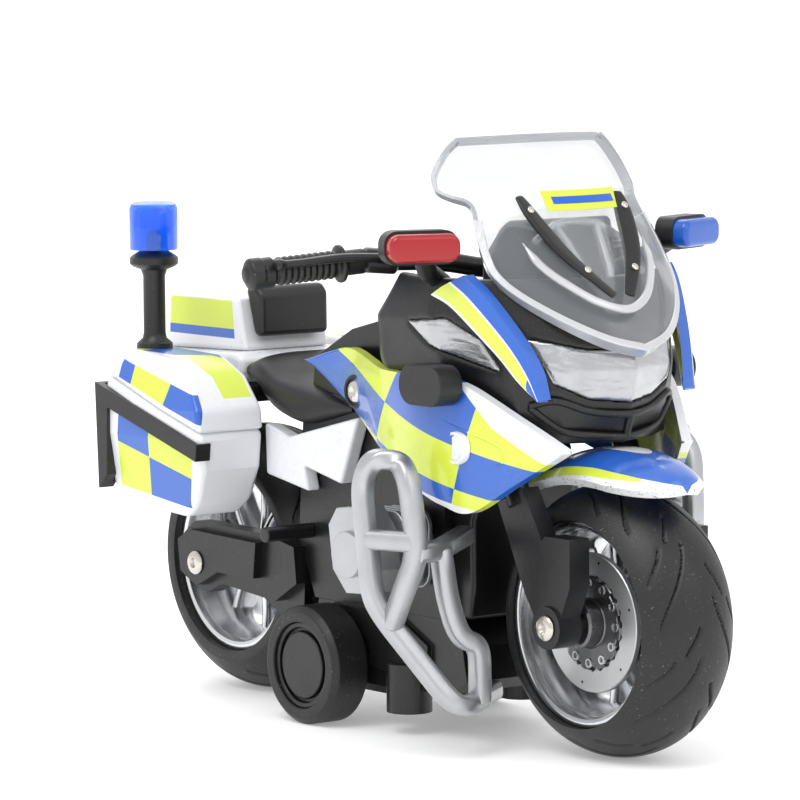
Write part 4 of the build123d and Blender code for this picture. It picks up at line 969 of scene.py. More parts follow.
    def discs(self) -> None:
        """The brake discs: a flat ring with a scalloped inner edge, a toothed carrier and six dark dots painted as the
        shade in its holes.
        """
        angle = np.linspace(0, FULL_TURN, 288, endpoint=False)
        for side in Side:
            tag = side.name.lower()
            near, far = side.value * 2.6, side.value * 3.2
            face = wavy_ring(f"brake_disc_{tag}", self.centre, 4.15 + 0.12 * np.sin(24 * angle),
                             np.full(angle.size, 6.2), near, far)
            fit(face, self.body, SATIN_DISC, *(("brake_discs",) if side is Side.RIGHT else ()))
            carrier = wavy_ring(f"disc_carrier_{tag}", self.centre, np.full(angle.size, 2.2),
                                4.2 - 0.35 * (np.sin(12 * angle) > 0.2), near, far + side.value * 0.18)
            fit(carrier, self.body, GUNMETAL)
            for number in range(12):
                turn = FULL_TURN * number / 12
                place = (self.centre[0] + 3.55 * math.cos(turn), far, self.centre[2] + 3.55 * math.sin(turn))
                link = np.array([(0.22, 0.0), (0.42, 0.0), (0.46, 0.14), (0.4, 0.3), (0.26, 0.3), (0.2, 0.14)])
                fit(lathe(f"disc_link_{tag}_{number + 1:02d}", place, link * (1, side.value), 16), self.body, CHROME)
            # Six flat black dots stand in for the disc's holes: painted shade.
            for number in range(6):
                turn = FULL_TURN * (number + 0.3) / 6
                place = (self.centre[0] + 5.5 * math.cos(turn), far, self.centre[2] + 5.5 * math.sin(turn))
                spot = np.array([(0.0, 0.015), (0.13, 0.012), (0.14, -0.05), (0.0, -0.05)])
                fit(lathe(f"disc_hole_{tag}_{number + 1}", place, spot * (1, side.value), 16), self.body,
                    SATIN_BLACK)

    def build(self) -> None:
        """Makes the wheel's pieces."""
        self.tyre()
        self.rim()
        self.axle()
        if self.has_discs:
            self.discs()


@dataclass
class FrontFork:
    """The fork legs, the stem and the handlebar with its grips and levers."""

    bend: Triple = (5.6, 11.2, 43.3)
    grip_end: Triple = (2.7, 22.0, 42.4)
    inner: Triple = (8.4, 4.6, 43.2)
    centre: Triple = (10.9, 0.0, 42.2)
    bar_radius: float = 0.9
    grip_radius: float = 1.14
    ribs: int = 9

    def bar(self) -> None:
        """The bar: one smooth tube from grip to grip."""
        half = [self.centre, self.inner, self.bend, tuple(np.add(self.bend, (-0.5, 1.9, -0.15)))]
        route = [(x, -y, z) for x, y, z in reversed(half[1:])] + half
        tube = sweep("handlebar_tube", rounded_route(route, 2.2), section(self.bar_radius, self.bar_radius),
                     (1, 0, 0.3))
        fit(tube, Body.STEERING, SATIN_BLACK, "handlebar")

    def grip(self, side: Side) -> None:
        """One grip: a collar, nine rubber ribs and a swollen end, as a radius along the grip's line."""
        ends = np.array([self.bend, self.grip_end]) * (1, side.value, 1)
        length = np.linalg.norm(ends[1] - ends[0])
        s = np.linspace(0, length, 260)
        ribbed = (s > 2.9) & (s < length - 2.9)
        swell = 1.0 + 0.13 * np.abs(np.sin(math.pi * (s - 2.9) * self.ribs / (length - 5.8))) * ribbed
        swell += 0.5 * np.exp(-((s - 2.2) / 0.34) ** 4)
        swell += 0.22 * np.clip((s - length + 2.6) * 4, 0, 1) + 0.06 * np.clip((s - length + 1.5) * 6, 0, 1)
        swell *= np.where(s > length - 0.5, np.sqrt(np.clip(1 - ((s - length + 0.5) / 0.62) ** 2, 0, 1)), 1.0)
        route = ends[0] + (ends[1] - ends[0]) * (s / length)[:, None]
        piece = sweep(f"grip_{side.name.lower()}", route, section(self.grip_radius, self.grip_radius, 2, 40),
                      (1, 0, 0), swell)
        fit(piece, Body.STEERING, GRIP_BLACK, *(("grips",) if side is Side.RIGHT else ()))

    def lever(self, side: Side) -> None:
        """One lever: a flat blade that leaves a clamp, follows the grip and ends in a small ball."""
        route = curve_through([(7.4, 9.6, 43.5), (7.7, 11.4, 43.7), (6.9, 14.6, 43.8), (5.9, 18.2, 43.5),
                               (5.1, 20.4, 43.4)], 40) * (1, side.value, 1)
        s = np.linspace(0, 1, 40)
        swell = 1.05 - 0.35 * s + 0.42 * np.exp(-((s - 0.98) / 0.05) ** 2)
        blade = sweep(f"lever_{side.name.lower()}", route, section(0.72, 0.46, 2.6, 20), (1, 0, 0), swell)
        fit(blade, Body.STEERING, SATIN_BLACK, *(("levers",) if side is Side.RIGHT else ()))
        clamp = np.array([(6.9, 8.7, 43.2), (5.9, 11.0, 43.4)]) * (1, side.value, 1)
        housing = sweep(f"lever_clamp_{side.name.lower()}", np.linspace(clamp[0], clamp[1], 6),
                        section(1.45, 1.15, 3.0, 24), (1, 0, 0))
        fit(housing, Body.STEERING, SATIN_BLACK)

    def build(self) -> None:
        """Makes the fork's pieces."""
        fit(softened("fork_legs", 0.22), Body.STEERING, SATIN_BLACK, "fork_legs")
        fit(softened("steering_stem", 0.15), Body.STEERING, SATIN_BLACK, "steering_stem")
        self.bar()
        for side in Side:
            self.grip(side)
            self.lever(side)


@dataclass
class Fender:
    """The front fender: a smooth beak over the tyre."""

    body: Body = Body.STEERING
    stations: int = 60
    columns: int = 41
    thickness: float = 0.7
    # Along the fender: X, height of the ridge, half width, and height of the hem.
    shape: tuple[tuple[float, ...], ...] = (
        (19.0, 24.5, 4.6, 23.6), (22.0, 26.2, 5.1, 24.2), (25.5, 27.3, 5.25, 25.0), (29.0, 27.6, 5.15, 25.1),
        (32.0, 27.3, 4.9, 24.8), (34.6, 26.6, 4.0, 24.6), (36.3, 25.8, 2.5, 24.6), (37.05, 25.0, 0.7, 24.8))

    def surface(self, drop: float) -> np.ndarray:
        """Arches carried along the fender.

        Across each arch the place goes from -1 to 1. The width is its sine-like share of the half width, and
        the height falls from the ridge to the hem by a power of that share.

        Args:
            drop: How far inside the outer surface to work.

        Returns:
            Grid of places.
        """
        x, ridge, half, hem = curve_through(self.shape, self.stations).T
        across = np.linspace(-1, 1, self.columns)[None, :]
        share = np.sin(across * math.pi / 2)
        fall = np.abs(share) ** 2.6
        width = (half - drop)[:, None] * share
        height = ridge[:, None] - drop - (ridge - hem)[:, None] * fall
        return np.stack([x[:, None] + 0 * share, width, height], axis=2)

    def build(self) -> None:
        """Makes the fender."""
        piece = slab("front_fender_shell", self.surface(0.0), self.surface(self.thickness), 0.2)
        fit(piece, self.body, FENDER_PAINT, "front_fender")


@dataclass
class FairingPanel:
    """A painted side panel with its raised crease, round badge and recessed screw."""

    side: Side
    # Top and lower outlines in X and Z, from the rear tip to the front tip.
    top: tuple[Pair, ...] = ((-7.8, 33.35), (-4.0, 34.3), (-0.4, 34.9), (4.0, 34.35), (8.0, 33.8), (13.0, 33.8),
                             (17.5, 34.0), (20.4, 33.4), (22.8, 32.2), (26.2, 29.9), (29.2, 27.7))
    low: tuple[Pair, ...] = ((-7.8, 33.2), (-5.0, 31.9), (-2.1, 30.5), (2.4, 28.7), (7.1, 26.9), (11.4, 25.2),
                             (15.7, 23.5), (18.6, 22.5), (21.5, 22.0), (25.4, 24.7), (29.2, 27.5))
    plan: tuple[Pair, ...] = ((-8.6, 7.2), (0.0, 8.2), (10.0, 11.6), (17.0, 12.6), (23.0, 10.8), (29.5, 6.9))
    thickness: float = 1.0
    crown: float = 0.35
    crease: tuple[Pair, ...] = ((16.8, 30.8), (19.2, 30.0), (21.4, 29.2), (23.4, 28.5), (24.6, 27.7), (24.6, 26.7),
                                (23.6, 26.0))
    badge: Pair = (20.4, 27.7)
    screw: Pair = (1.7, 31.1)

    def depth(self, x: np.ndarray) -> np.ndarray:
        """The panel's distance from the middle plane at each X: a smooth curve through the plan's points."""
        given = curve_through(self.plan, 200)
        return np.interp(x, given[:, 0], given[:, 1])

    def skin(self, rows: int, columns: int, lift: float) -> np.ndarray:
        """The panel between its two outlines, crowned outwards in the middle, at lift from its mid surface."""
        top = curve_through(self.top, rows)
        low = curve_through(self.low, rows)
        share = np.linspace(0, 1, columns)[None, :, None]
        flat = low[:, None, :] * (1 - share) + top[:, None, :] * share
        bulge = self.crown * np.sin(share[..., 0] * math.pi) ** 0.7
        y = self.depth(flat[..., 0]) + lift + bulge - self.crown
        return np.stack([flat[..., 0], self.side.value * y, flat[..., 1]], axis=2)

    def on_skin(self, points: Sequence[Pair], count: int, lift: float) -> np.ndarray:
        """A smooth curve laid on the panel at lift above it."""
        flat = curve_through(points, count)
        y = self.depth(flat[:, 0]) + self.thickness / 2 + lift
        return np.stack([flat[:, 0], self.side.value * y, flat[:, 1]], axis=1)

    def build(self) -> None:
        """Makes the panel, its crease, its badge and its screw."""
        tag = self.side.name.lower()
        half = self.thickness / 2
        panel = slab(f"fairing_panel_{tag}_painted", self.skin(90, 26, half), self.skin(90, 26, -half), 0.22)
        fit(panel, Body.CHASSIS, PANEL_PAINT, f"fairing_panel_{tag}")
        s = np.linspace(0, 1, 70)
        crease = sweep(f"panel_crease_{tag}", self.on_skin(self.crease, 70, -0.12), section(0.34, 0.26, 2, 16),
                       (0, 1, 0), np.sin(s * math.pi) ** 0.5 * (0.3 + 0.7 * s))
        fit(crease, Body.CHASSIS, PANEL_PAINT)
        centre = self.on_skin((self.badge, (self.badge[0] + 0.1, self.badge[1])), 2, -0.25)[0]
        disc = np.array([(0.0, 0.36), (1.0, 0.36), (1.06, 0.3), (1.14, 0.3), (1.22, 0.42), (1.42, 0.4), (1.5, 0.2),
                         (1.5, -0.2), (0.0, -0.2)])
        fit(lathe(f"panel_badge_{tag}", tuple(centre), disc * (1, self.side.value), 64), Body.CHASSIS, GLOSS_WHITE)
        self.screw_head(tag)

    def screw_head(self, tag: str) -> None:
        """A raised collar round the recess, and the plated screw head down in it."""
        centre = self.on_skin((self.screw, (self.screw[0] + 0.1, self.screw[1])), 2, 0.0)[0]
        collar = np.array([(1.15, -0.3), (1.5, -0.3), (1.55, 0.05), (1.4, 0.16), (1.22, 0.1), (1.15, -0.05)])
        fit(lathe(f"screw_recess_{tag}", tuple(centre), collar * (1, self.side.value), 64), Body.CHASSIS, COWL_BLACK)
        floor = np.array([(0.0, -0.02), (1.2, -0.02), (1.2, -0.3), (0.0, -0.3)])
        fit(lathe(f"screw_floor_{tag}", tuple(centre), floor * (1, self.side.value), 64), Body.CHASSIS, SATIN_BLACK)
        head = np.array([(0.0, 0.16), (0.25, 0.16), (0.5, 0.3), (0.85, 0.22), (1.0, 0.05), (1.0, -0.1), (0.0, -0.1)])
        fit(lathe(f"screw_head_{tag}", tuple(centre), head * (1, self.side.value), 48), Body.CHASSIS, STEEL)


@dataclass
class Nose:
    """The black cowl with its lamps, grille and painted blades."""

    blade_rear: tuple[Pair, ...] = ((17.2, 41.0), (19.4, 40.2), (21.6, 38.6), (24.2, 36.0), (26.0, 33.7), (27.6, 32.0))
    blade_front: tuple[Pair, ...] = ((21.2, 42.9), (22.8, 41.5), (24.5, 39.4), (26.2, 36.9), (27.3, 34.6), (27.8, 32.2))
    blade_plan: tuple[Pair, ...] = ((16.0, 12.3), (19.0, 12.1), (22.0, 11.5), (25.4, 9.9), (28.8, 7.9))
    blade_thickness: float = 0.9
    cast_voxel: float = 0.2
    cast_passes: int = 10
    # The intake's lips from the middle outwards, and its middle post.
    lip_low: tuple[Triple, ...] = ((28.9, 0.0, 28.6), (28.2, 3.0, 28.8), (26.7, 5.6, 29.3), (25.4, 8.0, 31.3))
    lip_high: tuple[Triple, ...] = ((29.6, 0.0, 30.6), (28.3, 3.4, 30.9), (27.0, 6.3, 31.9), (25.4, 8.0, 31.5))
    lip_radius: float = 0.34

    def blade(self, side: Side) -> None:
        """One blade: a strip between its rear and front edges, crowned across."""
        rear, front = curve_through(self.blade_rear, 50), curve_through(self.blade_front, 50)
        share = np.linspace(0, 1, 15)[None, :, None]
        flat = rear[:, None, :] * (1 - share) + front[:, None, :] * share
        plan = curve_through(self.blade_plan, 100)
        y = np.interp(flat[..., 0], plan[:, 0], plan[:, 1]) + 0.28 * np.sin(share[..., 0] * math.pi)
        outer = np.stack([flat[..., 0], side.value * (y + 0.3), flat[..., 1]], axis=2)
        inner = np.stack([flat[..., 0], side.value * (y - self.blade_thickness), flat[..., 1]], axis=2)
        piece = slab(f"nose_blade_{side.name.lower()}", outer, inner, 0.18)
        fit(piece, Body.CHASSIS, BLADE_PAINT, *(("nose_blades",) if side is Side.RIGHT else ()))

    def intake(self) -> None:
        """The intake's upper and lower lips, each one bar from side to side, and the post between them."""
        for name, half in (("low", self.lip_low), ("high", self.lip_high)):
            route = [(x, -y, z) for x, y, z in reversed(half[1:])] + list(half)
            lip = sweep(f"intake_lip_{name}", curve_through(route, 80), section(self.lip_radius, self.lip_radius),
                        (0, 0, 1))
            fit(lip, Body.CHASSIS, COWL_BLACK)
        post = sweep("intake_post", np.linspace(self.lip_low[0], self.lip_high[0], 6),
                     section(self.lip_radius, self.lip_radius), (0, 1, 0))
        fit(post, Body.CHASSIS, COWL_BLACK)

    def build(self) -> None:
        """Makes the nose's pieces."""
        for node, finish in (("nose_cowl", COWL_BLACK), ("side_lamp_lenses", LENS), ("headlamp_lens", LENS)):
            cast = moulded_over(f"{node}_cast", (node,), self.cast_voxel, self.cast_passes)
            fit(cast, Body.CHASSIS, finish, node)
        fit(softened("intake_grille", 0.25), Body.CHASSIS, SATIN_BLACK, "intake_grille")
        self.intake()
        for side in Side:
            self.blade(side)


@dataclass
class Windscreen:
    """The clear screen with its thick lower edge, inner ring, mounting strips and label."""

    tip: Triple = (31.8, 0.0, 36.2)
    rise: Pair = (-0.5917, 0.8061)  # X and Z of the direction up the screen
    radius: float = 17.6
    thickness: float = 0.9
    label_shift: float = 0.9
    rows: int = 90
    waist: int = 45  # the row where the thick lower edge ends
    # Half outline from the tip upwards: distance from the middle, and height.
    edge: tuple[Pair, ...] = ((0.0, 36.2), (3.0, 36.95), (5.4, 38.1), (7.6, 39.6), (9.3, 41.2), (10.2, 42.8),
                              (10.3, 44.4), (10.0, 46.5), (9.6, 48.2), (9.7, 49.0), (10.6, 49.4), (11.3, 49.9),
                              (11.4, 50.6), (11.0, 51.8), (9.6, 53.6), (8.4, 54.6))

    def at(self, y: np.ndarray, z: np.ndarray, lift: float) -> np.ndarray:
        """Places on the screen's round sheet, at lift in front of it.

        The sheet is a part of a cylinder that leans back along rise, so a place is the tip, plus a run up
        the rise, less the cylinder's fall to the side.
        """
        lean = np.arcsin(np.clip(y / self.radius, -1, 1))
        fall = self.radius * (1 - np.cos(lean))
        back, up = self.rise
        run = (z - self.tip[2] - back * fall) / up
        forward = np.cos(lean)
        return np.stack([self.tip[0] + back * run - up * fall + lift * up * forward, y + lift * np.sin(lean),
                         z - lift * back * forward], axis=-1)

    def outline(self, count: int, inset: float = 0.0) -> np.ndarray:
        """The half outline, moved in from the edge by inset."""
        half = curve_through(self.edge, count)
        along = np.gradient(half, axis=0)
        along /= np.linalg.norm(along, axis=1, keepdims=True)
        moved = half + inset * np.stack([-along[:, 1], along[:, 0]], axis=1)
        moved[:, 0] = np.maximum(moved[:, 0], 0.0)
        return moved

    def sheet(self) -> None:
        """The sheet between its left and right outlines."""
        half = self.outline(self.rows)
        across = np.linspace(-1, 1, 41)[None, :]
        y = half[:, :1] * across
        z = half[:, 1:] + 0.25 * (1 - across ** 2) * np.linspace(0, 1, self.rows)[:, None] ** 8
        piece = slab("windscreen_clear", self.at(y, z, 0.0), self.at(y, z, -self.thickness), 0.2)
        fit(piece, Body.CHASSIS, CLEAR, "windscreen")

    def border(self, name: str, rows: slice, inset: float, proud: float, finish: Moulded) -> None:
        """A strip along part of both side edges, between the outline and the outline moved in.

        Args:
            name: The piece's name.
            rows: Which part of the half outline it follows.
            inset: Its width.
            proud: How far it stands out in front of and behind the sheet.
            finish: Its finish.
        """
        outer, inner = self.outline(self.rows)[rows], self.outline(self.rows, inset)[rows]
        share = np.linspace(0, 1, 7)[None, :]
        y = outer[:, :1] * (1 - share) + inner[:, :1] * share
        z = outer[:, 1:] * (1 - share) + inner[:, 1:] * share
        if rows.start == 0:
            y, z = np.concatenate([-y[::-1], y[1:]]), np.concatenate([z[::-1], z[1:]])
            fit(slab(name, self.at(y, z, proud), self.at(y, z, -self.thickness - proud), 0.12), Body.CHASSIS, finish)
            return
        for side in Side:
            places = [self.at(side.value * y, z, lift) for lift in (proud, -self.thickness - proud)]
            fit(slab(f"{name}_{side.name.lower()}", *places, 0.05), Body.CHASSIS, finish)

    def top_edge(self) -> None:
        """The screen's upper edge, as one thin bar that follows the sheet's own top row."""
        half = self.edge[-1]
        across = np.linspace(-1, 1, 41)
        rise = half[1] + 0.25 * (1 - across ** 2) - 0.16
        bar = sweep("windscreen_top_edge", self.at(half[0] * across, rise, -self.thickness / 2),
                    section(0.15, self.thickness / 2, 2.6, 16), (1, 0, 0.7))
        fit(bar, Body.CHASSIS, CLEAR_EDGE)

    def ring(self) -> None:
        """The raised inner ring, open at the top."""
        half = [(6.9, 45.6), (6.2, 43.6), (4.6, 41.9), (2.6, 40.5), (0.0, 39.8)]
        flat = curve_through(half + [(-y, z) for y, z in half[-2::-1]], 120)
        s = np.linspace(0, 1, 120)
        piece = sweep("windscreen_inner_ring", self.at(flat[:, 0], flat[:, 1], -0.1), section(0.3, 0.42, 2.4, 16),
                      (1, 0, 0.7), np.clip(np.sin(s * math.pi) * 4, 0.2, 1))
        fit(piece, Body.CHASSIS, PAINTED_BRIGHT_CLEAR)

    def cluster(self) -> None:
        """The clear T behind the screen: two ribs that meet low in the middle, under an arched bar."""
        routes = {"rib_right": [(-2.6, 47.9), (-1.6, 44.0), (-0.5, 40.8)],
                  "rib_left": [(2.6, 47.9), (1.6, 44.0), (0.5, 40.8)],
                  "bar": [(-5.2, 46.4), (-2.8, 47.6), (0.0, 48.0), (2.8, 47.6), (5.2, 46.4)]}
        for name, route in routes.items():
            flat = curve_through(route, 40)
            piece = sweep(f"cluster_{name}", self.at(flat[:, 0], flat[:, 1], -1.5), section(0.45, 0.35, 2.4, 12),
                          (1, 0, 0.7))
            fit(piece, Body.CHASSIS, PAINTED_BRIGHT_CLEAR)

    def strip(self, side: Side) -> None:
        """One black mounting strip with two bright studs."""
        flat = curve_through([(5.6, 49.4), (5.0, 47.2), (3.6, 44.2), (0.9, 40.9)], 40) * (side.value, 1)
        s = np.linspace(0, 1, 40)
        piece = sweep(f"screen_strip_{side.name.lower()}", self.at(flat[:, 0], flat[:, 1], 0.1),
                      section(0.85, 0.28, 3.0, 20), (0, side.value, 0.2), 0.55 + 0.5 * np.sin(s ** 0.8 * math.pi))
        fit(piece, Body.CHASSIS, SATIN_BLACK, *(("screen_brackets",) if side is Side.RIGHT else ()))
        for number, share in enumerate((8, 31)):
            spot = self.at(flat[share:share + 1, 0], flat[share:share + 1, 1], 0.36)[0]
            rise = np.linspace(spot, spot + np.array([0.16, 0.0, 0.12]), 3)
            stud = sweep(f"screen_stud_{side.name.lower()}_{number + 1}", rise, section(0.34, 0.34, 2, 16),
                         (0, 1, 0))
            fit(stud, Body.CHASSIS, STEEL)

    def label(self) -> None:
        """A plain strip label with one dark bar."""
        for name, half, low, high, lift, finish in (("screen_label", 4.4, 48.2, 49.9, 0.06, LABEL_PAINT),
                                                    ("screen_label_bar", 3.6, 48.75, 49.35, 0.11, LABEL_INK)):
            y, z = np.meshgrid(np.linspace(-half, half, 24) + self.label_shift, np.linspace(low, high, 4))
            fit(slab(name, self.at(y, z, lift), self.at(y, z, 0.01), 0.0), Body.CHASSIS, finish)

    def build(self) -> None:
        """Makes the screen's pieces."""
        self.sheet()
        self.border("windscreen_edge_band", slice(0, self.waist + 1), 0.6, 0.2, PAINTED_BRIGHT_CLEAR)
        self.border("windscreen_rim_line", slice(self.waist, self.rows), 0.3, 0.02, CLEAR_EDGE)
        self.top_edge()
        self.ring()
        self.cluster()
        self.label()
        for side in Side:
            self.strip(side)


@dataclass
class CrashBars:
    """The silver guard rails, as square-shouldered bars along the frame's own routes."""

    half: float = 0.92
    loop: tuple[Triple, ...] = ((17.4, 16.2, 26.6), (15.6, 17.9, 26.8), (14.2, 18.0, 24.4), (15.6, 18.0, 14.6),
                                (16.4, 17.2, 12.6), (20.6, 13.2, 5.3), (20.6, 11.4, 4.7), (15.6, 4.4, 4.9))
    inner: tuple[Triple, ...] = ((17.4, 16.2, 26.6), (18.9, 16.4, 25.0), (19.6, 16.0, 18.6), (17.0, 17.0, 12.0))
    spur: tuple[Triple, ...] = ((19.5, 16.2, 18.6), (19.0, 13.2, 18.6), (14.8, 7.0, 19.0))
    drop: tuple[Triple, ...] = ((19.0, 13.0, 18.6), (19.2, 12.4, 14.2), (19.8, 11.6, 10.8), (20.2, 9.6, 10.0),
                                (19.7, 9.2, 4.9))
    cross: tuple[Triple, ...] = ((15.2, 18.0, 19.6), (19.4, 16.2, 19.6))

    def build(self) -> None:
        """Makes both rails of each side."""
        for side in Side:
            tag = side.name.lower()
            joined = (*self.inner[::-1], *self.loop[1:])
            routes = {"outer": (joined, (1, 0, 0)), "spur": (self.spur, (0, 0, 1)), "drop": (self.drop, (1, 0, 0)),
                      "cross": (self.cross, (0, 0, 1))}
            for number, (name, (route, across)) in enumerate(routes.items()):
                places = rounded_route(route, 1.7) * (1, side.value, 1)
                bar = sweep(f"crash_bar_{tag}_{name}", places, section(self.half, self.half, 3.2, 28), across)
                fit(bar, Body.CHASSIS, SILVER, *((f"crash_bar_{tag}",) if number == 0 else ()))


@dataclass
class LampPods:
    """The two square warning lamps on their stalks."""

    def build(self) -> None:
        """Makes the pods and lenses."""
        fit(softened("lamp_pods", 0.35), Body.CHASSIS, COWL_BLACK, "lamp_pods")
        fit(softened("lamp_lens_red", 0.0), Body.CHASSIS, RED_LENS, "lamp_lens_red")
        fit(softened("lamp_lens_blue", 0.0), Body.CHASSIS, BLUE_LENS, "lamp_lens_blue")


@dataclass
class SeatUnit:
    """The saddle, tank cover, tail deck, radio box and back pad."""

    # Along the saddle: X, top, half width, and bottom.
    saddle: tuple[tuple[float, ...], ...] = (
        (-19.3, 32.4, 6.0, 30.4), (-16.6, 33.1, 7.0, 29.4), (-12.8, 32.1, 8.0, 27.4), (-8.8, 31.5, 8.1, 26.6),
        (-5.0, 30.6, 7.6, 27.4), (-1.8, 29.6, 6.9, 28.4))

    def seat(self) -> None:
        """The saddle: rounded arches carried along it, over a flat underside."""
        x, top, half, low = curve_through(self.saddle, 50).T
        angle = np.linspace(0, FULL_TURN, 56, endpoint=False)[None, :]
        cosine, sine = np.cos(angle), np.sin(angle)
        width = half[:, None] * np.sign(cosine) * np.abs(cosine) ** 0.6
        middle, rise = (top + low)[:, None] / 2, (top - low)[:, None] / 2
        height = middle + rise * np.sign(sine) * np.abs(sine) ** 0.75
        piece = loft("seat_saddle", np.stack([x[:, None] + 0 * width, width, height], axis=2))
        fit(piece, Body.CHASSIS, SEAT_BLACK, "seat")

    def build(self) -> None:
        """Makes the seat unit's pieces."""
        self.seat()
        for node, width, finish in (("tank_cover", 0.7, SATIN_BLACK), ("side_panels", 0.3, GLOSS_WHITE),
                                    ("tail_deck", 0.5, GLOSS_WHITE), ("radio_box", 0.5, RADIO_PAINT),
                                    ("back_pad", 0.5, SEAT_BLACK), ("rear_mudguard", 0.25, SATIN_BLACK),
                                    ("tail_lamp", 0.3, RED_LENS)):
            fit(softened(node, width), Body.CHASSIS, finish, node)


@dataclass
class Panniers:
    """The two hard cases with their lids and black bands."""

    def build(self) -> None:
        """Makes the cases."""
        fit(softened("pannier_cases", 0.7, 4), Body.CHASSIS, CASE_PAINT, "pannier_cases")
        fit(softened("pannier_lids", 0.7, 4), Body.CHASSIS, LID_PAINT, "pannier_lids")
        fit(softened("pannier_trims", 0.3), Body.CHASSIS, COWL_BLACK, "pannier_trims")


@dataclass
class Beacon:
    """The blue warning light on its black mast."""

    foot: Triple = (-27.0, -11.2, 33.2)
    pole_radius: float = 1.05
    flange: float = 7.9
    dome: Pair = (9.5, 14.0)
    dome_radius: float = 2.3

    def build(self) -> None:
        """Makes the mast, the bulb and the hollow dome."""
        r, f, (low, high), d = self.pole_radius, self.flange, self.dome, self.dome_radius
        mast = np.array([(0.0, 0.0), (r + 0.7, 0.0), (r + 0.65, 0.6), (r + 0.1, 1.1), (r, 1.6), (r, f - 0.9),
                         (r + 0.2, f - 0.3), (d - 0.3, f), (d, f + 0.25), (d, f + 0.85), (d - 0.3, f + 1.1),
                         (r + 0.2, low - 0.05), (0.0, low - 0.05)])
        fit(upright_lathe("beacon_mast", self.foot, mast), Body.CHASSIS, COWL_BLACK, "beacon_pole")
        shell = np.array([(d - 0.35, low), (d - 0.05, low), (d, low + 0.2), (d, high - 0.6), (d - 0.15, high - 0.2),
                          (d - 0.55, high), (0.0, high), (0.0, high - 0.5), (d - 0.7, high - 0.5),
                          (d - 0.45, high - 0.8)])
        fit(upright_lathe("beacon_dome", self.foot, shell), Body.CHASSIS, BEACON_BLUE, "beacon_lens")
        bulb = np.array([(0.0, low - 0.05), (0.8, low - 0.05), (0.85, low + 1.0), (0.7, low + 1.6), (0.35, low + 2.0),
                         (0.0, low + 2.05)])
        fit(upright_lathe("beacon_lamp", self.foot, bulb), Body.CHASSIS, BULB_DARK, "beacon_bulb")


@dataclass
class Chassis:
    """The frame castings, the engine, the pegs, the exhaust and the pull-back motor."""

    castings: dict[str, tuple[float, Moulded]] = field(default_factory=lambda: {
        "main_frame": (0.2, SATIN_BLACK), "lower_frame": (0.3, SATIN_BLACK), "swing_arm": (0.25, SATIN_BLACK),
        "engine_block": (0.4, SATIN_BLACK), "cylinder_heads": (0.2, SILVER), "siren_horns": (0.5, COWL_BLACK),
        "instrument_cluster": (0.4, COWL_BLACK), "foot_pegs": (0.15, SATIN_BLACK), "exhaust": (0.2, SILVER),
        "screws": (0.06, STEEL), "motor_shell_right": (0.15, MOTOR_CASE), "motor_shell_left": (0.15, MOTOR_CASE)})

    def build(self) -> None:
        """Rounds the castings and dresses what is inside the motor."""
        for node, (width, finish) in self.castings.items():
            fit(softened(node, width), Body.CHASSIS, finish, node)
        for node, body, finish in (("motor_wheels", Body.DRIVE, SATIN_BLACK), ("motor_tyres", Body.DRIVE, TYRE),
                                   ("drive_axle", Body.DRIVE, STEEL)):
            fit(softened(node, 0.12), body, finish, node)
        for node, finish in (("drive_pinion", NYLON), ("idler_gear", NYLON), ("barrel_gear", NYLON),
                             ("mainspring", STEEL)):
            dress_node(node, finish)


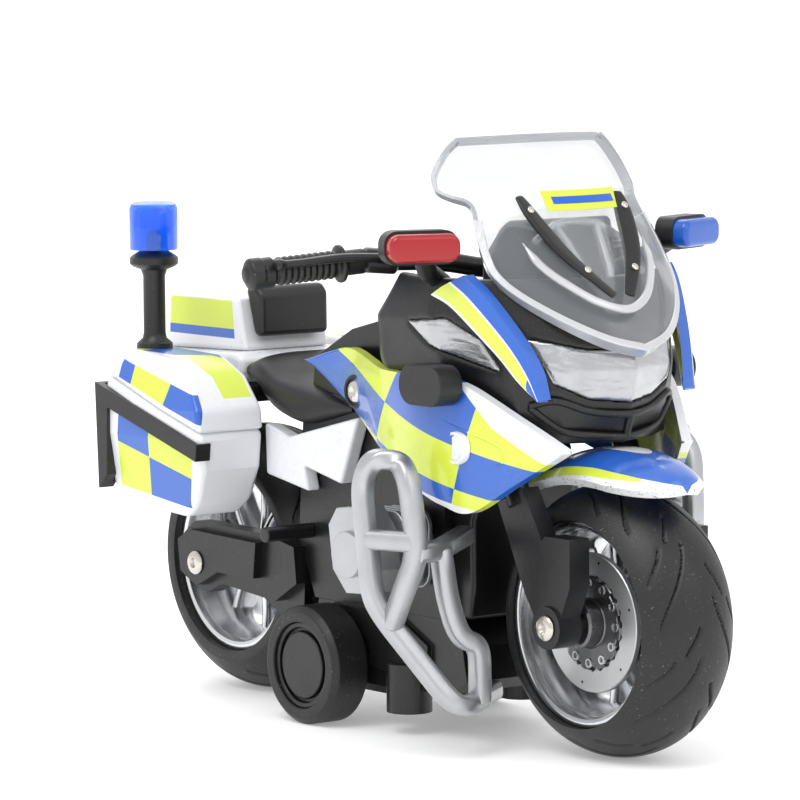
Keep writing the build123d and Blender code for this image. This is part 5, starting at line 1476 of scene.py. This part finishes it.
@dataclass
class Studio:
    """The floor, the lights and the camera."""

    eye: Triple = (358.7, -280.9, 75.0)
    yaw: float = 142.2
    pitch: float = 5.69
    roll: float = -0.37
    lens: float = 223.1
    sensor: float = 36.0
    floor_radius: float = 6.0

    def floor(self) -> None:
        """A wide pale disc under the wheels."""
        angle = np.linspace(0, FULL_TURN, 96, endpoint=False)
        reach = np.array([0.0, 0.1, 0.3, 1.0])[:, None] * self.floor_radius / MM
        points = np.stack([reach * np.cos(angle), reach * np.sin(angle), 0 * reach * angle], axis=2)
        disc = solid("studio_floor", points, grid_faces(4, 96, False, True))
        disc.data.materials.append(Moulded("floor paper", "white_plastic", (0.9, 0.9, 0.9), 0.6, grain=0.02,
                                           relief=0.0, wander=0.0, glow=0.3).material())
        if disc.data.polygons[0].normal.z < 0:
            disc.data.flip_normals()

    def light(self, name: str, place: Triple, size: float, power: float, tint: Colour = (1.0, 1.0, 1.0)) -> None:
        """A square softbox that faces the middle of the motorcycle.

        Args:
            name: The lamp's name.
            place: Where it stands, in metres.
            size: Its width, in metres.
            power: Its power, in watts.
            tint: Its colour.
        """
        lamp = bpy.data.lights.new(name, "AREA")
        lamp.size = size
        lamp.energy = power
        lamp.color = tint
        holder = bpy.data.objects.new(name, lamp)
        holder.location = place
        aim = Vector((0.0, 0.0, 0.02)) - Vector(place)
        holder.rotation_euler = aim.to_track_quat("-Z", "Y").to_euler()
        bpy.context.scene.collection.objects.link(holder)

    def lights(self) -> None:
        """A pale surround, a high key light, a broad fill and a light behind."""
        world = bpy.data.worlds.new("pale surround")
        bpy.context.scene.world = world
        world.use_nodes = True
        surround = world.node_tree.nodes["Background"]
        surround.inputs["Color"].default_value = (1.0, 1.0, 1.0, 1.0)
        surround.inputs["Strength"].default_value = 1.0
        self.light("key", (0.10, -0.30, 0.50), 0.30, 1.3)
        self.light("fill", (0.50, 0.10, 0.35), 0.40, 0.5)
        self.light("back", (-0.45, 0.25, 0.45), 0.45, 0.8)

    def camera(self) -> None:
        """The camera, from its yaw, pitch and roll."""
        yaw, pitch, roll = (math.radians(a) for a in (self.yaw, self.pitch, self.roll))
        ahead = Vector((math.cos(pitch) * math.cos(yaw), math.cos(pitch) * math.sin(yaw), -math.sin(pitch)))
        right = ahead.cross(Vector((0, 0, 1))).normalized()
        up = right.cross(ahead)
        turned_right = right * math.cos(roll) + up * math.sin(roll)
        turned_up = up * math.cos(roll) - right * math.sin(roll)
        turn = Matrix((turned_right, turned_up, -ahead)).transposed().to_4x4()
        data = bpy.data.cameras.new("camera")
        data.lens = self.lens
        data.sensor_width = self.sensor
        data.clip_start = 0.01
        holder = bpy.data.objects.new("camera", data)
        holder.matrix_world = Matrix.Translation(Vector(self.eye) * MM) @ turn
        bpy.context.scene.collection.objects.link(holder)
        bpy.context.scene.camera = holder
        bpy.context.scene.view_settings.view_transform = "Standard"

    def build(self) -> None:
        """Sets the stage."""
        self.floor()
        self.lights()
        self.camera()


def main() -> None:
    """Builds every sub-assembly in order."""
    logging.basicConfig(level=logging.INFO, format="%(message)s")
    Studio().build()
    parts = [
        RoadWheel("front", Body.FRONT_WHEEL, centre=(27.8, 0.0, 12.2), tyre_radius=12.2, rim_radius=9.15,
                  axle_half=8.4, has_discs=True),
        RoadWheel("rear", Body.REAR_WHEEL, centre=(-24.0, 0.0, 12.8), tyre_radius=12.8, rim_radius=8.75,
                  axle_half=8.9, has_discs=False),
        FrontFork(), Fender(), FairingPanel(Side.RIGHT), FairingPanel(Side.LEFT), Nose(), Windscreen(),
        CrashBars(), LampPods(), SeatUnit(), Panniers(), Beacon(), Chassis(),
    ]
    for part in parts:
        part.build()


if __name__ == "__main__":
    main()
